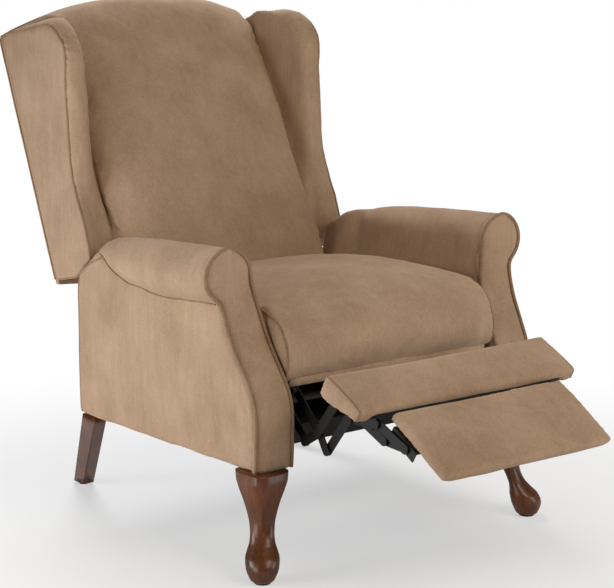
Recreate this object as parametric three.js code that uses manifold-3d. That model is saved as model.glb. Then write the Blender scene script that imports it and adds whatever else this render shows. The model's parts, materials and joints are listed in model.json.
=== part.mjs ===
import * as THREE from 'three';
import { mergeVertices } from 'three/addons/utils/BufferGeometryUtils.js';
import Module from 'manifold-3d';

// A wingback recliner in millimetres. X runs to the sitter's left arm side seen from the front,
// Y runs to the rear, Z runs up. It stands with the footrest open and the back in its first lean.

const wasm = await Module();
wasm.setup();

// Driving dimensions: overall body
const legHeight = 216;
const backWingTop = 1066;
const crownHeight = 1105;

// Fits
const gap = 0.3;
const overrun = 40;

// Arms
const armFrontY = -238;
const armSweep = 95;
const armRearY = 305;
const armOuterFoot = 358;
const armOuterNeck = 387;
const armOuterRear = 390;
const armInnerFoot = 266;
const armInnerNeck = 298;
const armTopHeight = 660;
const rollRadius = 55.5;
const armNeckHeight = armTopHeight - rollRadius * 2;
const armInnerUpper = 291;
const armRearTop = 532;
const facingThick = 12;
const rollEndY = 239;
const rollEndTop = 585;

// Arm inner boards, rails and rear panel
const boardInner = 268;
const boardThick = 18;
const boardTop = 372;
const boardFrontY = -299;
const boardRearY = 290;
const railHeight = 40;
const railDepth = 36;
const railLift = 3;
const frontRailY = -188;
const rearRailY = 232;
const rearPanelThick = 14;

// Legs
const glideHeight = 4;
const frontLegX = 326;
const frontLegY = -292;
const frontLegHalf = 44;
const cabrioleReachX = 36;
const cabrioleReachY = 50;
const frontToeHalf = 33;
const rearLegX = 369;
const rearLegY = 277;
const rearLegTopWide = 31;
const rearLegTopDeep = 56;
const rearLegFootWide = 30;
const rearLegFootDeep = 42;
const rearLegChamfer = 3;
const rearLegRake = 184;
const rearLegTuck = 76;
const rearGlideShare = 0.36;

// Seat
const seatRearY = 222;
const seatNoseY = -324;
const seatBoxTop = 525;
const seatCrown = 27;
const seatNoseStart = 0.8;
const seatLipRise = 0.05;
const seatLipBulge = 0.4;
const seatCrownRise = 0.5;
const seatNoseCrown = 16;
const seatLipBottom = 385;
const seatFrameThick = 18;
const seatFrameBottom = 379.3;
const seatFrameHalf = 262;
const seatFrameBar = 42;
const seatFrameFrontY = -300;
const seatFrameRearY = 214;

// Seat springs
const springCount = 5;
const springWire = 4;
const springLoop = 22;
const springPitch = 36;

// Back
const backFootZ = 489;
const backFootY = 460;
const backLean = 0.426;
const padBottom = 455;
const padFrontFootY = 249;
const padFrontTopY = 561;
const padFrontTopZ = 1046;
const padFrontFootZ = 475;
const padCrown = 44;
const padSwellStart = 0.03;
const padSwellEnd = 0.8;
const padRearDepth = 60;
const crownEdge = 1056;
const outsideThick = 12;
const outsideHalf = 356;
const outsideCrown = 1094;
const outsideEdge = 1034;
const skirtHalf = 262;
const skirtBottom = 400;
const backFrameBar = 37;
const backFrameThick = 42;
const backFrameBottom = 470;
const backFrameTop = 1004;

// Wings
const wingOuter = 356;
const wingInnerEdge = 300;

// Steel linkage: plate thickness, pitch of the layers from the arm board inwards, rivets
const steel = 3;
const layerPitch = 5.6;
const wingInner = boardInner - layerPitch;
const padHalf = wingInner - steel - 2 * gap;
const pinRadius = 4;
const headRadius = 6.5;
const headThick = 1.6;
const bossRadius = 8;
const linkRadius = 10;
const carrierRadius = 14;

// Swing links that carry the seat
const frontSwingY = -120;
const rearSwingY = 130;
const swingBaseZ = 246;
const swingHeight = 90;
const swingLean = 16;
const backPivotY = 258;
const backPivotZ = 430;
const baseRailHeight = 38;
const baseRailFrontY = -296;
const baseRailRearY = 205;
const baseRailFlange = 20;

// Footrest: places of its rear top edge, forward and up, open and closed
const boardOpenForward = 448;
const boardOpenHeight = 436;
const boardClosedForward = 388;
const boardClosedHeight = 362;
const boardTilt = 26;
const footrestHalf = 288;
const footrestDepth = 124;
const footrestThick = 50;
const footrestMidThick = 16;
const footrestFlap = 27;
const footrestCrown = 8;
const plyThick = 10;
const plyMargin = 10;
const frontPivotForward = 296;
const frontPivotHeight = 368;
const rearPivotSetback = 43;
const rearPivotDrop = 26;
const bracketUpperAlong = 17;
const bracketUpperDrop = 60;
const bracketLowerAlong = 50;
const bracketLowerDrop = 80;
const flangeWidth = 26;
const tubeSetback = 30;
const tubeDrop = 15;
const tubeRadius = 8;
const tubeBore = 5;

// Extension board: place of its rear top edge along and above the footrest's top
const extensionAlong = 140;
const extensionRise = 2;
const extensionClosedAlong = -10;
const extensionClosedDrop = 64;
const extensionDip = 5;
const extensionHalf = 222;
const extensionDepth = 185;
const extensionThick = 22;
const extensionSkin = 14;
const extensionCrown = 5;
const extensionBoardMargin = 16;
const armPivotAlong = 116;
const armPivotDrop = 43;
const armPivotSpread = 62;
const armTurn = 140;

// Outlines, as shares of the sizes that they follow
const armSweepShares = [
  [0, 0.8], [0.1, 0.86], [0.217, 0.93], [0.342, 1], [0.44, 0.96], [0.513, 0.85], [0.59, 0.68],
  [0.67, 0.505], [0.75, 0.337], [0.86, 0.168], [0.94, 0.07], [1, 0],
];
const rollStationShares = [
  // along the roll, fall of its top, half height, half width, overhang past the arm's side
  [0, 0, 1, 1, 0.61], [0.218, 0.067, 1.03, 1.01, 0.595], [0.436, 0.16, 1.045, 1.01, 0.56],
  [0.606, 0.24, 0.94, 0.955, 0.487], [0.709, 0.307, 0.865, 0.9, 0.414],
  [0.811, 0.4, 0.69, 0.81, 0.288], [0.87, 0.48, 0.52, 0.685, 0.144],
  [0.908, 0.573, 0.36, 0.58, 0.036], [0.95, 0.693, 0.27, 0.47, -0.108],
  [1, 1, 0.16, 0.29, -0.25],
];
const cabrioleShares = [
  // height, reach outwards, half width, squareness
  [1, 0, 1, 1], [0.93, 0.06, 1, 0.9], [0.84, 0.18, 0.93, 0.7], [0.72, 0.26, 0.77, 0.5],
  [0.6, 0.36, 0.64, 0.3], [0.5, 0.47, 0.57, 0.1], [0.41, 0.58, 0.56, 0], [0.34, 0.66, 0.6, 0],
  [0.28, 0.72, 0.7, 0], [0.21, 0.79, 0.79, 0], [0.145, 0.86, 0.78, 0], [0.09, 0.93, 0.71, 0],
  [0.03, 0.98, 0.59, 0], [0, 1, 0.47, 0],
];
const seatProfileShares = [
  // along from the rear to the nose, height from the lip to the box top
  [0, 0.82], [0.25, 0.9], [0.5, 0.96], [0.7, 0.995], [0.817, 0.993], [0.875, 0.96], [0.918, 0.91],
  [0.952, 0.81], [0.976, 0.66], [0.989, 0.53], [0.996, 0.32], [1, 0.12], [1, 0],
];
const wingFrontShares = [
  // height from the foot to the top, front edge from the foot corner to the rear, rear edge
  [0, 0.8, 1], [0.035, 0.42, 1], [0.08, 0.2, 1], [0.128, 0, 1], [0.255, 0.13, 1], [0.39, 0.42, 1],
  [0.475, 0.5, 1], [0.69, 0.57, 1], [0.8, 0.58, 1], [0.87, 0.57, 1], [0.908, 0.58, 1],
  [0.932, 0.65, 1], [0.944, 0.69, 0.926], [0.962, 0.76, 0.62], [0.986, 0.92, 0.34], [1, 1.06, 0.12],
];
const wingFootDepth = 156;
const wingFaceTurn = 16;
const wingCorner = 14;

// Materials
const finish = (color, roughness, metalness) =>
  new THREE.MeshStandardMaterial({ color, roughness, metalness });
const fabric = finish('#b2957a', 0.95, 0);
const polishedWood = finish('#6e3a1e', 0.35, 0);
const frameWood = finish('#b08d5f', 0.8, 0);
const blackSteel = finish('#1c1c1e', 0.5, 0.8);
const springSteel = finish('#3a3b3d', 0.45, 0.9);
const nylon = finish('#26221f', 0.6, 0);

// Solids and geometries
function merged(geometry) {
  const bare = geometry.clone();
  for (const name of ['normal', 'uv', 'color']) {
    bare.deleteAttribute(name);
  }
  return mergeVertices(bare, 0.001);
}

function solidOf(geometry) {
  const bare = merged(geometry);
  const count = bare.attributes.position.count;
  const index = bare.index ? bare.index.array : [...Array(count).keys()];
  return new wasm.Manifold(new wasm.Mesh({
    numProp: 3,
    vertProperties: new Float32Array(bare.attributes.position.array),
    triVerts: new Uint32Array(index),
  }));
}

function geometryOf(solid) {
  const mesh = solid.getMesh();
  const geometry = new THREE.BufferGeometry();
  geometry.setAttribute('position', new THREE.BufferAttribute(mesh.vertProperties, 3));
  geometry.setIndex(new THREE.BufferAttribute(mesh.triVerts, 1));
  geometry.computeVertexNormals();
  return geometry;
}

function facetGeometry(points, triangles) {
  const geometry = new THREE.BufferGeometry();
  geometry.setAttribute('position', new THREE.Float32BufferAttribute(points.flat(), 3));
  const index = volumeOf(points, triangles) < 0
    ? triangles.map(([a, b, c]) => [a, c, b])
    : triangles;
  geometry.setIndex(index.flat());
  geometry.computeVertexNormals();
  return geometry;
}

function volumeOf(points, triangles) {
  const corner = (i) => new THREE.Vector3(...points[i]);
  return triangles.reduce(
    (sum, [a, b, c]) => sum + corner(a).dot(corner(b).cross(corner(c))),
    0,
  );
}

// A solid through rings of points, closed by flat ends. Each ring is an array of [x, y, z].
function loft(rings) {
  const size = rings[0].length;
  const points = rings.flat();
  const triangles = [];
  for (let ring = 0; ring + 1 < rings.length; ring += 1) {
    for (let i = 0; i < size; i += 1) {
      const a = ring * size + i;
      const b = ring * size + (i + 1) % size;
      triangles.push([a, b, b + size], [a, b + size, a + size]);
    }
  }
  const closeEnd = (ring, reversed) => {
    const start = ring * size;
    const flat = flatten(rings[ring]);
    for (const [a, b, c] of THREE.ShapeUtils.triangulateShape(flat, [])) {
      triangles.push(reversed ? [start + a, start + c, start + b] : [start + a, start + b, start + c]);
    }
  };
  const firstTurn = THREE.ShapeUtils.isClockWise(flatten(rings[0]));
  closeEnd(0, !firstTurn);
  const lastTurn = THREE.ShapeUtils.isClockWise(flatten(rings[rings.length - 1]));
  closeEnd(rings.length - 1, lastTurn);
  return facetGeometry(points, orient(triangles));
}

// Ring points seen along the ring's own thinnest axis
function flatten(ring) {
  const spans = [0, 1, 2].map((axis) => {
    const values = ring.map((point) => point[axis]);
    return Math.max(...values) - Math.min(...values);
  });
  const drop = spans.indexOf(Math.min(...spans));
  const [u, v] = [0, 1, 2].filter((axis) => axis !== drop);
  return ring.map((point) => new THREE.Vector2(point[u], point[v]));
}

// Turns the triangles so that neighbours run the same way round
function orient(triangles) {
  const edges = new Map();
  const key = (a, b) => `${Math.min(a, b)}:${Math.max(a, b)}`;
  triangles.forEach((corners, index) => {
    corners.forEach((a, i) => {
      const name = key(a, corners[(i + 1) % 3]);
      edges.set(name, [...(edges.get(name) ?? []), index]);
    });
  });
  const seen = new Set([0]);
  const queue = [0];
  const runs = (corners, a, b) => corners.some((c, i) => c === a && corners[(i + 1) % 3] === b);
  while (queue.length > 0) {
    const current = triangles[queue.pop()];
    current.forEach((a, i) => {
      const b = current[(i + 1) % 3];
      for (const other of edges.get(key(a, b))) {
        if (!seen.has(other)) {
          seen.add(other);
          if (runs(triangles[other], a, b)) {
            triangles[other].reverse();
          }
          queue.push(other);
        }
      }
    });
  }
  return triangles;
}

// Straight reading of a table of shares: the columns after the first, at a place along the first
function readShares(table, place) {
  const rising = table[0][0] < table[table.length - 1][0];
  const rows = rising ? table : [...table].reverse();
  const next = rows.findIndex((row) => row[0] >= place);
  if (next <= 0) {
    return next === 0 ? rows[0].slice(1) : rows[rows.length - 1].slice(1);
  }
  const [before, after] = [rows[next - 1], rows[next]];
  const part = (place - before[0]) / (after[0] - before[0]);
  return before.slice(1).map((value, i) => value + (after[i + 1] - value) * part);
}

const mix = (from, to, share) => from + (to - from) * share;
const toRadians = THREE.MathUtils.degToRad;

function block(xSpan, ySpan, zSpan) {
  const [x, y, z] = [xSpan, ySpan, zSpan].map(([low, high]) => [high - low, (low + high) / 2]);
  return new THREE.BoxGeometry(x[0], y[0], z[0]).translate(x[1], y[1], z[1]);
}

function mirrored(geometry) {
  const copy = geometry.clone().scale(-1, 1, 1);
  const index = copy.index.array;
  for (let i = 0; i < index.length; i += 3) {
    [index[i], index[i + 1]] = [index[i + 1], index[i]];
  }
  copy.computeVertexNormals();
  return copy;
}

// Bodies: each group sits at its own pivot, and its meshes are placed from there
function body(name, parent, pivot) {
  const group = new THREE.Group();
  group.name = name;
  const home = parent ? parent.userData.pivot : new THREE.Vector3();
  group.position.copy(pivot).sub(home);
  group.userData.pivot = pivot;
  if (parent) {
    parent.add(group);
  }
  return group;
}

function add(group, name, geometry, material) {
  const mesh = new THREE.Mesh(geometry, material.clone());
  mesh.name = name;
  mesh.position.copy(group.userData.pivot).negate();
  group.add(mesh);
}

function addPair(group, name, rightGeometry, material) {
  add(group, `left_${name}`, mirrored(rightGeometry), material);
  add(group, `right_${name}`, rightGeometry, material);
}

// Pivots, as [y, z] points in the side view
const point = (forward, height) => new THREE.Vector2(-forward, height);
const turned = (vector, degrees) => vector.clone().rotateAround(new THREE.Vector2(), toRadians(degrees));
const sum = (...vectors) => vectors.reduce((total, v) => total.add(v), new THREE.Vector2());
const minus = (a, b) => a.clone().sub(b);

// A place on a board that slopes down to the front: along its top and up from it
function onBoard(corner, tilt, along, up) {
  return sum(corner, turned(point(along, up), tilt));
}

const boardOpen = point(boardOpenForward, boardOpenHeight);
const boardClosed = point(boardClosedForward, boardClosedHeight);
const footrestTurn = 90 - boardTilt;

// The fixed point that the footrest turns about from open to closed
function turningPoint(open, closed, degrees) {
  const middle = sum(open, closed).multiplyScalar(0.5);
  const half = minus(closed, open).multiplyScalar(0.5);
  const reach = 1 / Math.tan(toRadians(degrees / 2));
  return sum(middle, turned(half, 90).multiplyScalar(reach));
}

const footrestPole = turningPoint(boardOpen, boardClosed, footrestTurn);
const upperJoint = onBoard(boardOpen, boardTilt, bracketUpperAlong, -bracketUpperDrop);
const lowerJoint = onBoard(boardOpen, boardTilt, bracketLowerAlong, -bracketLowerDrop);
const frontPivot = point(frontPivotForward, frontPivotHeight);
const rearPivot = sum(frontPivot, point(-rearPivotSetback, -rearPivotDrop));
const crossJoint = sum(frontPivot, minus(upperJoint, footrestPole));
const rearJoint = sum(crossJoint, minus(rearPivot, frontPivot));
const tubeCentre = sum(rearPivot, point(-tubeSetback, -tubeDrop));
const lowJoint = sum(crossJoint, minus(lowerJoint, upperJoint));

// Extension arms: they turn about the footrest bracket and carry the extension parallel to it
const extensionOpen = point(extensionAlong, extensionRise);
const extensionClosed = point(extensionClosedAlong, -extensionClosedDrop);
const extensionChord = minus(extensionOpen, extensionClosed);
const armLength = extensionChord.length() / (2 * Math.sin(toRadians(armTurn / 2)));
const armReach = turned(extensionChord.clone().setLength(armLength), 90 - armTurn / 2);
const onFootrest = (local) => sum(boardOpen, turned(local, boardTilt));
const frontArmLocal = point(armPivotAlong, -armPivotDrop);
const rearArmLocal = minus(frontArmLocal, extensionChord.clone().setLength(armPivotSpread));
const frontArmPivot = onFootrest(frontArmLocal);
const rearArmPivot = onFootrest(rearArmLocal);
const frontArmEnd = onFootrest(sum(frontArmLocal, armReach));
const rearArmEnd = onFootrest(sum(rearArmLocal, armReach));
const extensionCorner = onFootrest(extensionOpen);
const extensionTilt = boardTilt + extensionDip;

// Swing links and the back pivot
const frontSwingBase = new THREE.Vector2(frontSwingY, swingBaseZ);
const rearSwingBase = new THREE.Vector2(rearSwingY, swingBaseZ);
const swingReach = new THREE.Vector2(swingLean, swingHeight);
const frontSwingTop = sum(frontSwingBase, swingReach);
const rearSwingTop = sum(rearSwingBase, swingReach);
const backPivot = new THREE.Vector2(backPivotY, backPivotZ);
const plateHeel = new THREE.Vector2(backPivotY, rearSwingTop.y);

const space = (flat) => new THREE.Vector3(0, flat.x, flat.y);
const chair = body('base', null, new THREE.Vector3());
const frontSwing = body('front_swing', chair, space(frontSwingBase));
const rearSwing = body('rear_swing', chair, space(rearSwingBase));
const seat = body('seat', frontSwing, space(frontSwingTop));
const back = body('back', seat, space(backPivot));
const frontLinks = body('front_links', seat, space(frontPivot));
const rearLinks = body('rear_links', seat, space(rearPivot));
const upperLinks = body('upper_links', frontLinks, space(crossJoint));
const lowerLinks = body('lower_links', frontLinks, space(lowJoint));
const footrest = body('footrest', upperLinks, space(upperJoint));
const frontArms = body('front_arms', footrest, space(frontArmPivot));
const rearArms = body('rear_arms', footrest, space(rearArmPivot));
const extension = body('extension', frontArms, space(frontArmEnd));

// Arms
function sweepAt(height) {
  const share = (height - legHeight) / (armNeckHeight + facingThick - legHeight);
  return armFrontY - armSweep * readShares(armSweepShares, Math.min(share, 1))[0];
}

function armInnerAt(height) {
  return mix(armInnerFoot, armInnerNeck, (height - legHeight) / (armNeckHeight - legHeight));
}

function armOuterAt(y, height) {
  const back = (y - armFrontY) / (armRearY - armFrontY);
  const foot = mix(armOuterFoot, armOuterRear, Math.max(back, 0));
  const neck = mix(armOuterNeck, armOuterRear, Math.max(back, 0));
  return mix(foot, neck, (height - legHeight) / (armNeckHeight - legHeight));
}

// One station of the arm: panel, roll and inner side, from the bottom inner corner round
function armStation(y, top, [halfHeight, halfWidth, overhang]) {
  const neck = top - halfHeight * 2;
  const outer = armOuterAt(y, neck);
  const centre = outer + overhang - halfWidth;
  const ring = [[armInnerAt(legHeight), legHeight], [armOuterAt(y, legHeight), legHeight]];
  ring.push([armOuterAt(y, mix(legHeight, neck, 0.5)), mix(legHeight, neck, 0.5)]);
  const start = -Math.acos(Math.min(1, (outer - centre) / halfWidth));
  const steps = 11;
  for (let i = 0; i <= steps; i += 1) {
    const angle = mix(start, Math.PI, i / steps);
    ring.push([centre + halfWidth * Math.cos(angle), top + halfHeight * (Math.sin(angle) - 1)]);
  }
  ring.push([armInnerUpper, neck]);
  ring.push([armInnerAt(boardTop), boardTop]);
  return ring.map(([x, z]) => [x, y, z]);
}

const rollSizes = (shares) => shares.map((share) => share * rollRadius);
const rollFront = rollSizes(rollStationShares[0].slice(2));
const rollEnd = rollSizes(rollStationShares[rollStationShares.length - 1].slice(2));

function armSolid() {
  const rings = [armStation(armFrontY - armSweep - overrun, armTopHeight, rollFront)];
  for (const [along, fall, ...shares] of rollStationShares) {
    const y = mix(armFrontY, rollEndY, along);
    rings.push(armStation(y, mix(armTopHeight, rollEndTop, fall), rollSizes(shares)));
  }
  rings.push(armStation(armRearY, armRearTop, rollEnd));
  const frontCut = slab((height) => [0, armOuterRear + rollRadius], (height) => [
    armFrontY - armSweep - overrun * 2,
    sweepAt(height) + facingThick + gap,
  ], legHeight - overrun, armTopHeight + overrun);
  const boardCut = block(
    [0, boardInner + boardThick + gap],
    [boardFrontY - gap, armRearY + overrun],
    [legHeight - overrun, boardTop + gap],
  );
  return geometryOf(solidOf(loft(rings)).subtract(solidOf(frontCut)).subtract(solidOf(boardCut)));
}

// An upright slab whose x and y spans change with height
function slab(xSpan, ySpan, low, high) {
  const heights = armHeights(low, high);
  return loft(heights.map((height) => {
    const [x0, x1] = xSpan(height);
    const [y0, y1] = ySpan(height);
    return [[x0, y0, height], [x1, y0, height], [x1, y1, height], [x0, y1, height]];
  }));
}

function armHeights(low, high) {
  const levels = armSweepShares.map(([share]) =>
    mix(legHeight, armNeckHeight + facingThick, share));
  return [low, ...levels.filter((height) => height > low && height < high), high];
}

function facingSolid() {
  const centreX = armOuterNeck + rollFront[2] - rollRadius;
  const centreZ = armTopHeight - rollRadius;
  const steps = 9;
  const heights = armHeights(legHeight, armNeckHeight);
  for (let i = 1; i <= steps; i += 1) {
    const angle = mix(Math.asin((armNeckHeight - centreZ) / rollRadius), Math.PI / 2, i / steps);
    heights.push(centreZ + rollRadius * Math.sin(angle) - (i === steps ? gap : 0));
  }
  return loft(heights.map((height) => {
    const across = Math.sqrt(Math.max(0, rollRadius ** 2 - (height - centreZ) ** 2));
    const outer = height <= armNeckHeight ? armOuterAt(armFrontY, height) : centreX + across;
    const inner = height <= centreZ ? Math.min(armInnerAt(height), centreX - across) : centreX - across;
    const y = sweepAt(height);
    return [[inner, y, height], [outer, y, height], [outer, y + facingThick, height],
      [inner, y + facingThick, height]];
  }));
}

addPair(chair, 'arm', armSolid(), fabric);
addPair(chair, 'arm_facing', facingSolid(), fabric);
addPair(chair, 'arm_board', block(
  [boardInner, boardInner + boardThick],
  [boardFrontY, boardRearY],
  [legHeight + railLift, boardTop],
), frameWood);

const railBottom = legHeight + railLift;
const layerOuter = (layer) => boardInner - gap - layer * layerPitch;
const railHalf = layerOuter(0) - steel - gap;
add(chair, 'front_rail', block(
  [-railHalf, railHalf],
  [frontRailY, frontRailY + railDepth],
  [railBottom, railBottom + railHeight],
), frameWood);
add(chair, 'rear_rail', block(
  [-boardInner + gap, boardInner - gap],
  [rearRailY, rearRailY + railDepth],
  [railBottom, railBottom + railHeight],
), frameWood);
const rearPanelHalf = boardInner + boardThick - gap;
add(chair, 'rear_panel', block(
  [-rearPanelHalf, rearPanelHalf],
  [boardRearY + gap, boardRearY + rearPanelThick],
  [railBottom, boardTop - gap],
), fabric);

// Legs
function squareRing(halfAt, squareness, centreX, centreY, height) {
  const steps = 12;
  return Array.from({ length: steps }, (_, i) => {
    const angle = (i / steps) * Math.PI * 2;
    const power = mix(1, 0.55, squareness);
    const along = Math.sign(Math.cos(angle)) * Math.abs(Math.cos(angle)) ** power;
    const across = Math.sign(Math.sin(angle)) * Math.abs(Math.sin(angle)) ** power;
    return [centreX + halfAt * along, centreY + halfAt * across, height];
  });
}

function cabrioleLeg() {
  const legTop = legHeight - gap;
  return loft(cabrioleShares.map(([rise, reach, width, squareness]) => squareRing(
    frontLegHalf * width,
    squareness,
    frontLegX + cabrioleReachX * reach,
    frontLegY - cabrioleReachY * reach,
    mix(glideHeight + gap, legTop, rise),
  )));
}

// A rectangle with its four corners cut off
function chamferedRing(wide, deep, chamfer, x, y, z) {
  const near = [wide / 2 - chamfer, deep / 2];
  const far = [wide / 2, deep / 2 - chamfer];
  return [
    [near[0], near[1]], [-near[0], near[1]], [-far[0], far[1]], [-far[0], -far[1]],
    [-near[0], -near[1]], [near[0], -near[1]], [far[0], -far[1]], [far[0], far[1]],
  ].map(([across, along]) => [x + across, y + along, z]);
}

function rearLeg() {
  const footX = rearLegX - rearLegTuck;
  const footY = rearLegY + rearLegRake;
  const top = [rearLegTopWide, rearLegTopDeep, rearLegChamfer, rearLegX, rearLegY];
  const foot = [rearLegFootWide, rearLegFootDeep, rearLegChamfer, footX, footY];
  return loft([
    chamferedRing(...top, legHeight - gap),
    chamferedRing(...foot, glideHeight + gap),
  ]);
}

function glide(x, y, radius) {
  return merged(new THREE.CylinderGeometry(radius, radius, glideHeight, 12)
    .rotateX(Math.PI / 2).translate(x, y, glideHeight / 2));
}

const toeX = frontLegX + cabrioleReachX;
const toeY = frontLegY - cabrioleReachY;
addPair(chair, 'front_leg', cabrioleLeg(), polishedWood);
addPair(chair, 'rear_leg', rearLeg(), polishedWood);
addPair(chair, 'front_glide', glide(toeX, toeY, frontToeHalf / 2), nylon);
addPair(chair, 'rear_glide', glide(
  rearLegX - rearLegTuck,
  rearLegY + rearLegRake,
  rearLegFootWide * rearGlideShare,
), nylon);

// Steel plates: a bar with round ends in the side view, in one layer
function bar(from, to, radius, layer) {
  const direction = minus(to, from).angle();
  const shape = new THREE.Shape();
  shape.absarc(to.x, to.y, radius, direction - Math.PI / 2, direction + Math.PI / 2);
  shape.absarc(from.x, from.y, radius, direction + Math.PI / 2, direction + Math.PI * 1.5);
  return alongX(shape, layerOuter(layer) - steel, layerOuter(layer));
}

// A shape drawn in the side view, made solid between two places across
function alongX(shape, low, high) {
  const geometry = new THREE.ExtrudeGeometry(shape, {
    depth: high - low, bevelEnabled: false, curveSegments: 5,
  });
  const turn = new THREE.Matrix4().makeBasis(
    new THREE.Vector3(0, 1, 0),
    new THREE.Vector3(0, 0, 1),
    new THREE.Vector3(1, 0, 0),
  );
  return geometry.applyMatrix4(turn).translate(low, 0, 0);
}

function disc(centre, radius, low, high) {
  const shape = new THREE.Shape();
  shape.absarc(centre.x, centre.y, radius, 0, Math.PI * 2);
  return alongX(shape, low, high);
}

function bored(solid, centres) {
  return centres.reduce((rest, centre) => rest.subtract(solidOf(disc(
    centre,
    pinRadius + gap,
    0,
    layerOuter(0) + overrun,
  ))), solid);
}

// Adds the rivet of one pivot: from a plate's layer inwards to the plate that turns on it
function riveted(solid, centre, ownLayer, otherLayer) {
  const ownInner = layerOuter(ownLayer) - steel;
  const otherOuter = layerOuter(otherLayer);
  const head = otherOuter - steel - gap;
  let joined = solid.add(solidOf(disc(centre, pinRadius, head - headThick, ownInner + steel / 2)));
  joined = joined.add(solidOf(disc(centre, headRadius, head - headThick, head)));
  return joined.add(solidOf(disc(centre, bossRadius, otherOuter + gap, ownInner + steel / 2)));
}

const joinBars = (bars) => bars.map(solidOf).reduce((whole, next) => whole.add(next));

// Layers, counted inwards from the arm board
const baseLayer = 0;
const swingLayer = 1;
const seatLayer = 2;
const upperLayer = 3;
const frontLayer = 4;
const lowerLayer = 5;
const bracketLayer = 6;
const armLayer = 7;
const extensionLayer = 8;

function baseRail() {
  const outer = layerOuter(baseLayer);
  const bottom = swingBaseZ - baseRailHeight / 2;
  let rail = solidOf(block(
    [outer - steel, outer],
    [baseRailFrontY, baseRailRearY],
    [bottom, bottom + baseRailHeight],
  ));
  for (const centre of [frontSwingBase, rearSwingBase]) {
    rail = riveted(rail, centre, baseLayer, swingLayer);
  }
  return geometryOf(rail);
}

function swingLink(from, to) {
  const link = bored(solidOf(bar(from, to, linkRadius, swingLayer)), [from]);
  return geometryOf(riveted(link, to, swingLayer, seatLayer));
}

addPair(chair, 'base_rail', baseRail(), blackSteel);
addPair(frontSwing, 'front_swing_link', swingLink(frontSwingBase, frontSwingTop), blackSteel);
addPair(rearSwing, 'rear_swing_link', swingLink(rearSwingBase, rearSwingTop), blackSteel);

// Seat side plates: a chain of bars through every pivot, with a flange under the seat frame
function seatPlate() {
  const outer = layerOuter(seatLayer);
  const flangeTop = seatFrameBottom - gap;
  const bars = [
    bar(frontPivot, rearPivot, linkRadius, seatLayer),
    bar(rearPivot, frontSwingTop, carrierRadius, seatLayer),
    bar(frontSwingTop, rearSwingTop, carrierRadius, seatLayer),
    bar(rearSwingTop, plateHeel, carrierRadius, seatLayer),
    bar(plateHeel, backPivot, carrierRadius, seatLayer),
    block(
      [outer - steel, outer],
      [-frontPivotForward, seatFrameRearY],
      [frontSwingTop.y, flangeTop],
    ),
    block(
      [outer - steel, seatFrameHalf],
      [-frontPivotForward, seatFrameRearY],
      [flangeTop - steel, flangeTop],
    ),
  ];
  let plate = bored(joinBars(bars), [frontSwingTop, rearSwingTop, backPivot]);
  for (const centre of [frontPivot, rearPivot]) {
    plate = riveted(plate, centre, seatLayer, frontLayer);
  }
  return geometryOf(plate);
}

function seatFrame() {
  const ring = block(
    [-seatFrameHalf, seatFrameHalf],
    [seatFrameFrontY, seatFrameRearY],
    [seatFrameBottom, seatFrameBottom + seatFrameThick],
  );
  const window = block(
    [-seatFrameHalf + seatFrameBar, seatFrameHalf - seatFrameBar],
    [seatFrameFrontY + seatFrameBar, seatFrameRearY - seatFrameBar],
    [seatFrameBottom - overrun, seatFrameBottom + seatFrameThick + overrun],
  );
  return geometryOf(solidOf(ring).subtract(solidOf(window)));
}

// A flat zigzag spring between the frame's front and rear bars
function seatSpring(x) {
  const frontY = seatFrameFrontY + seatFrameBar + springWire / 2 + gap;
  const rearY = seatFrameRearY - seatFrameBar - springWire / 2 - gap;
  const turns = Math.round((rearY - frontY) / springPitch);
  const spots = [];
  const height = seatFrameBottom + seatFrameThick / 2;
  for (let i = 0; i <= turns * 4; i += 1) {
    const along = i / (turns * 4);
    const ease = Math.sin(Math.PI * along) ** 0.25;
    const swing = Math.sin(i * Math.PI / 2) * springLoop * ease;
    spots.push(new THREE.Vector3(x + swing, mix(frontY, rearY, along), height));
  }
  const path = new THREE.CatmullRomCurve3(spots);
  const wire = new THREE.Shape();
  wire.absarc(0, 0, springWire / 2, 0, Math.PI * 2);
  return merged(new THREE.ExtrudeGeometry(wire, {
    steps: spots.length, curveSegments: 2, extrudePath: path,
  }));
}

function seatCushion() {
  const seatHalf = armInnerAt(boardTop) - gap * 2;
  const stations = 15;
  const bottom = seatFrameBottom + seatFrameThick + gap;
  const rings = Array.from({ length: stations }, (_, i) => {
    const side = -1 + 2 * i / (stations - 1);
    const full = 1 - Math.abs(side) ** 2.6;
    const ring = seatProfileShares.map(([along, rise]) => {
      const crown = seatCrown * full * Math.sin(Math.PI * Math.min(1, along * 0.9 + 0.1)) ** 0.6;
      const bulge = seatNoseCrown * full * Math.max(0, along - seatNoseStart) / (1 - seatNoseStart);
      return [
        side * seatHalf,
        mix(seatRearY, seatNoseY, along) - bulge * (rise > seatLipRise ? 1 : seatLipBulge),
        mix(seatLipBottom, seatBoxTop, rise) + (rise > seatCrownRise ? crown : 0),
      ];
    });
    const lipY = seatFrameFrontY - gap;
    ring.push([side * seatHalf, lipY, seatLipBottom], [side * seatHalf, lipY, bottom]);
    ring.push([side * seatHalf, seatRearY, bottom]);
    return ring;
  });
  return loft(rings);
}

addPair(seat, 'seat_plate', seatPlate(), blackSteel);
add(seat, 'seat_frame', seatFrame(), frameWood);
for (let i = 0; i < springCount; i += 1) {
  const span = (seatFrameHalf - seatFrameBar) * 2 / springCount;
  const x = (i - (springCount - 1) / 2) * span;
  add(seat, `seat_spring_${i + 1}`, seatSpring(x), springSteel);
}
add(seat, 'seat_cushion', seatCushion(), fabric);

// Back
const leanAt = (height) => backFootY + (height - backFootZ) * backLean;

function padFrontAt(height) {
  const rise = (height - padFrontFootZ) / (padFrontTopZ - padFrontFootZ);
  return mix(padFrontFootY, padFrontTopY, rise);
}

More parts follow.
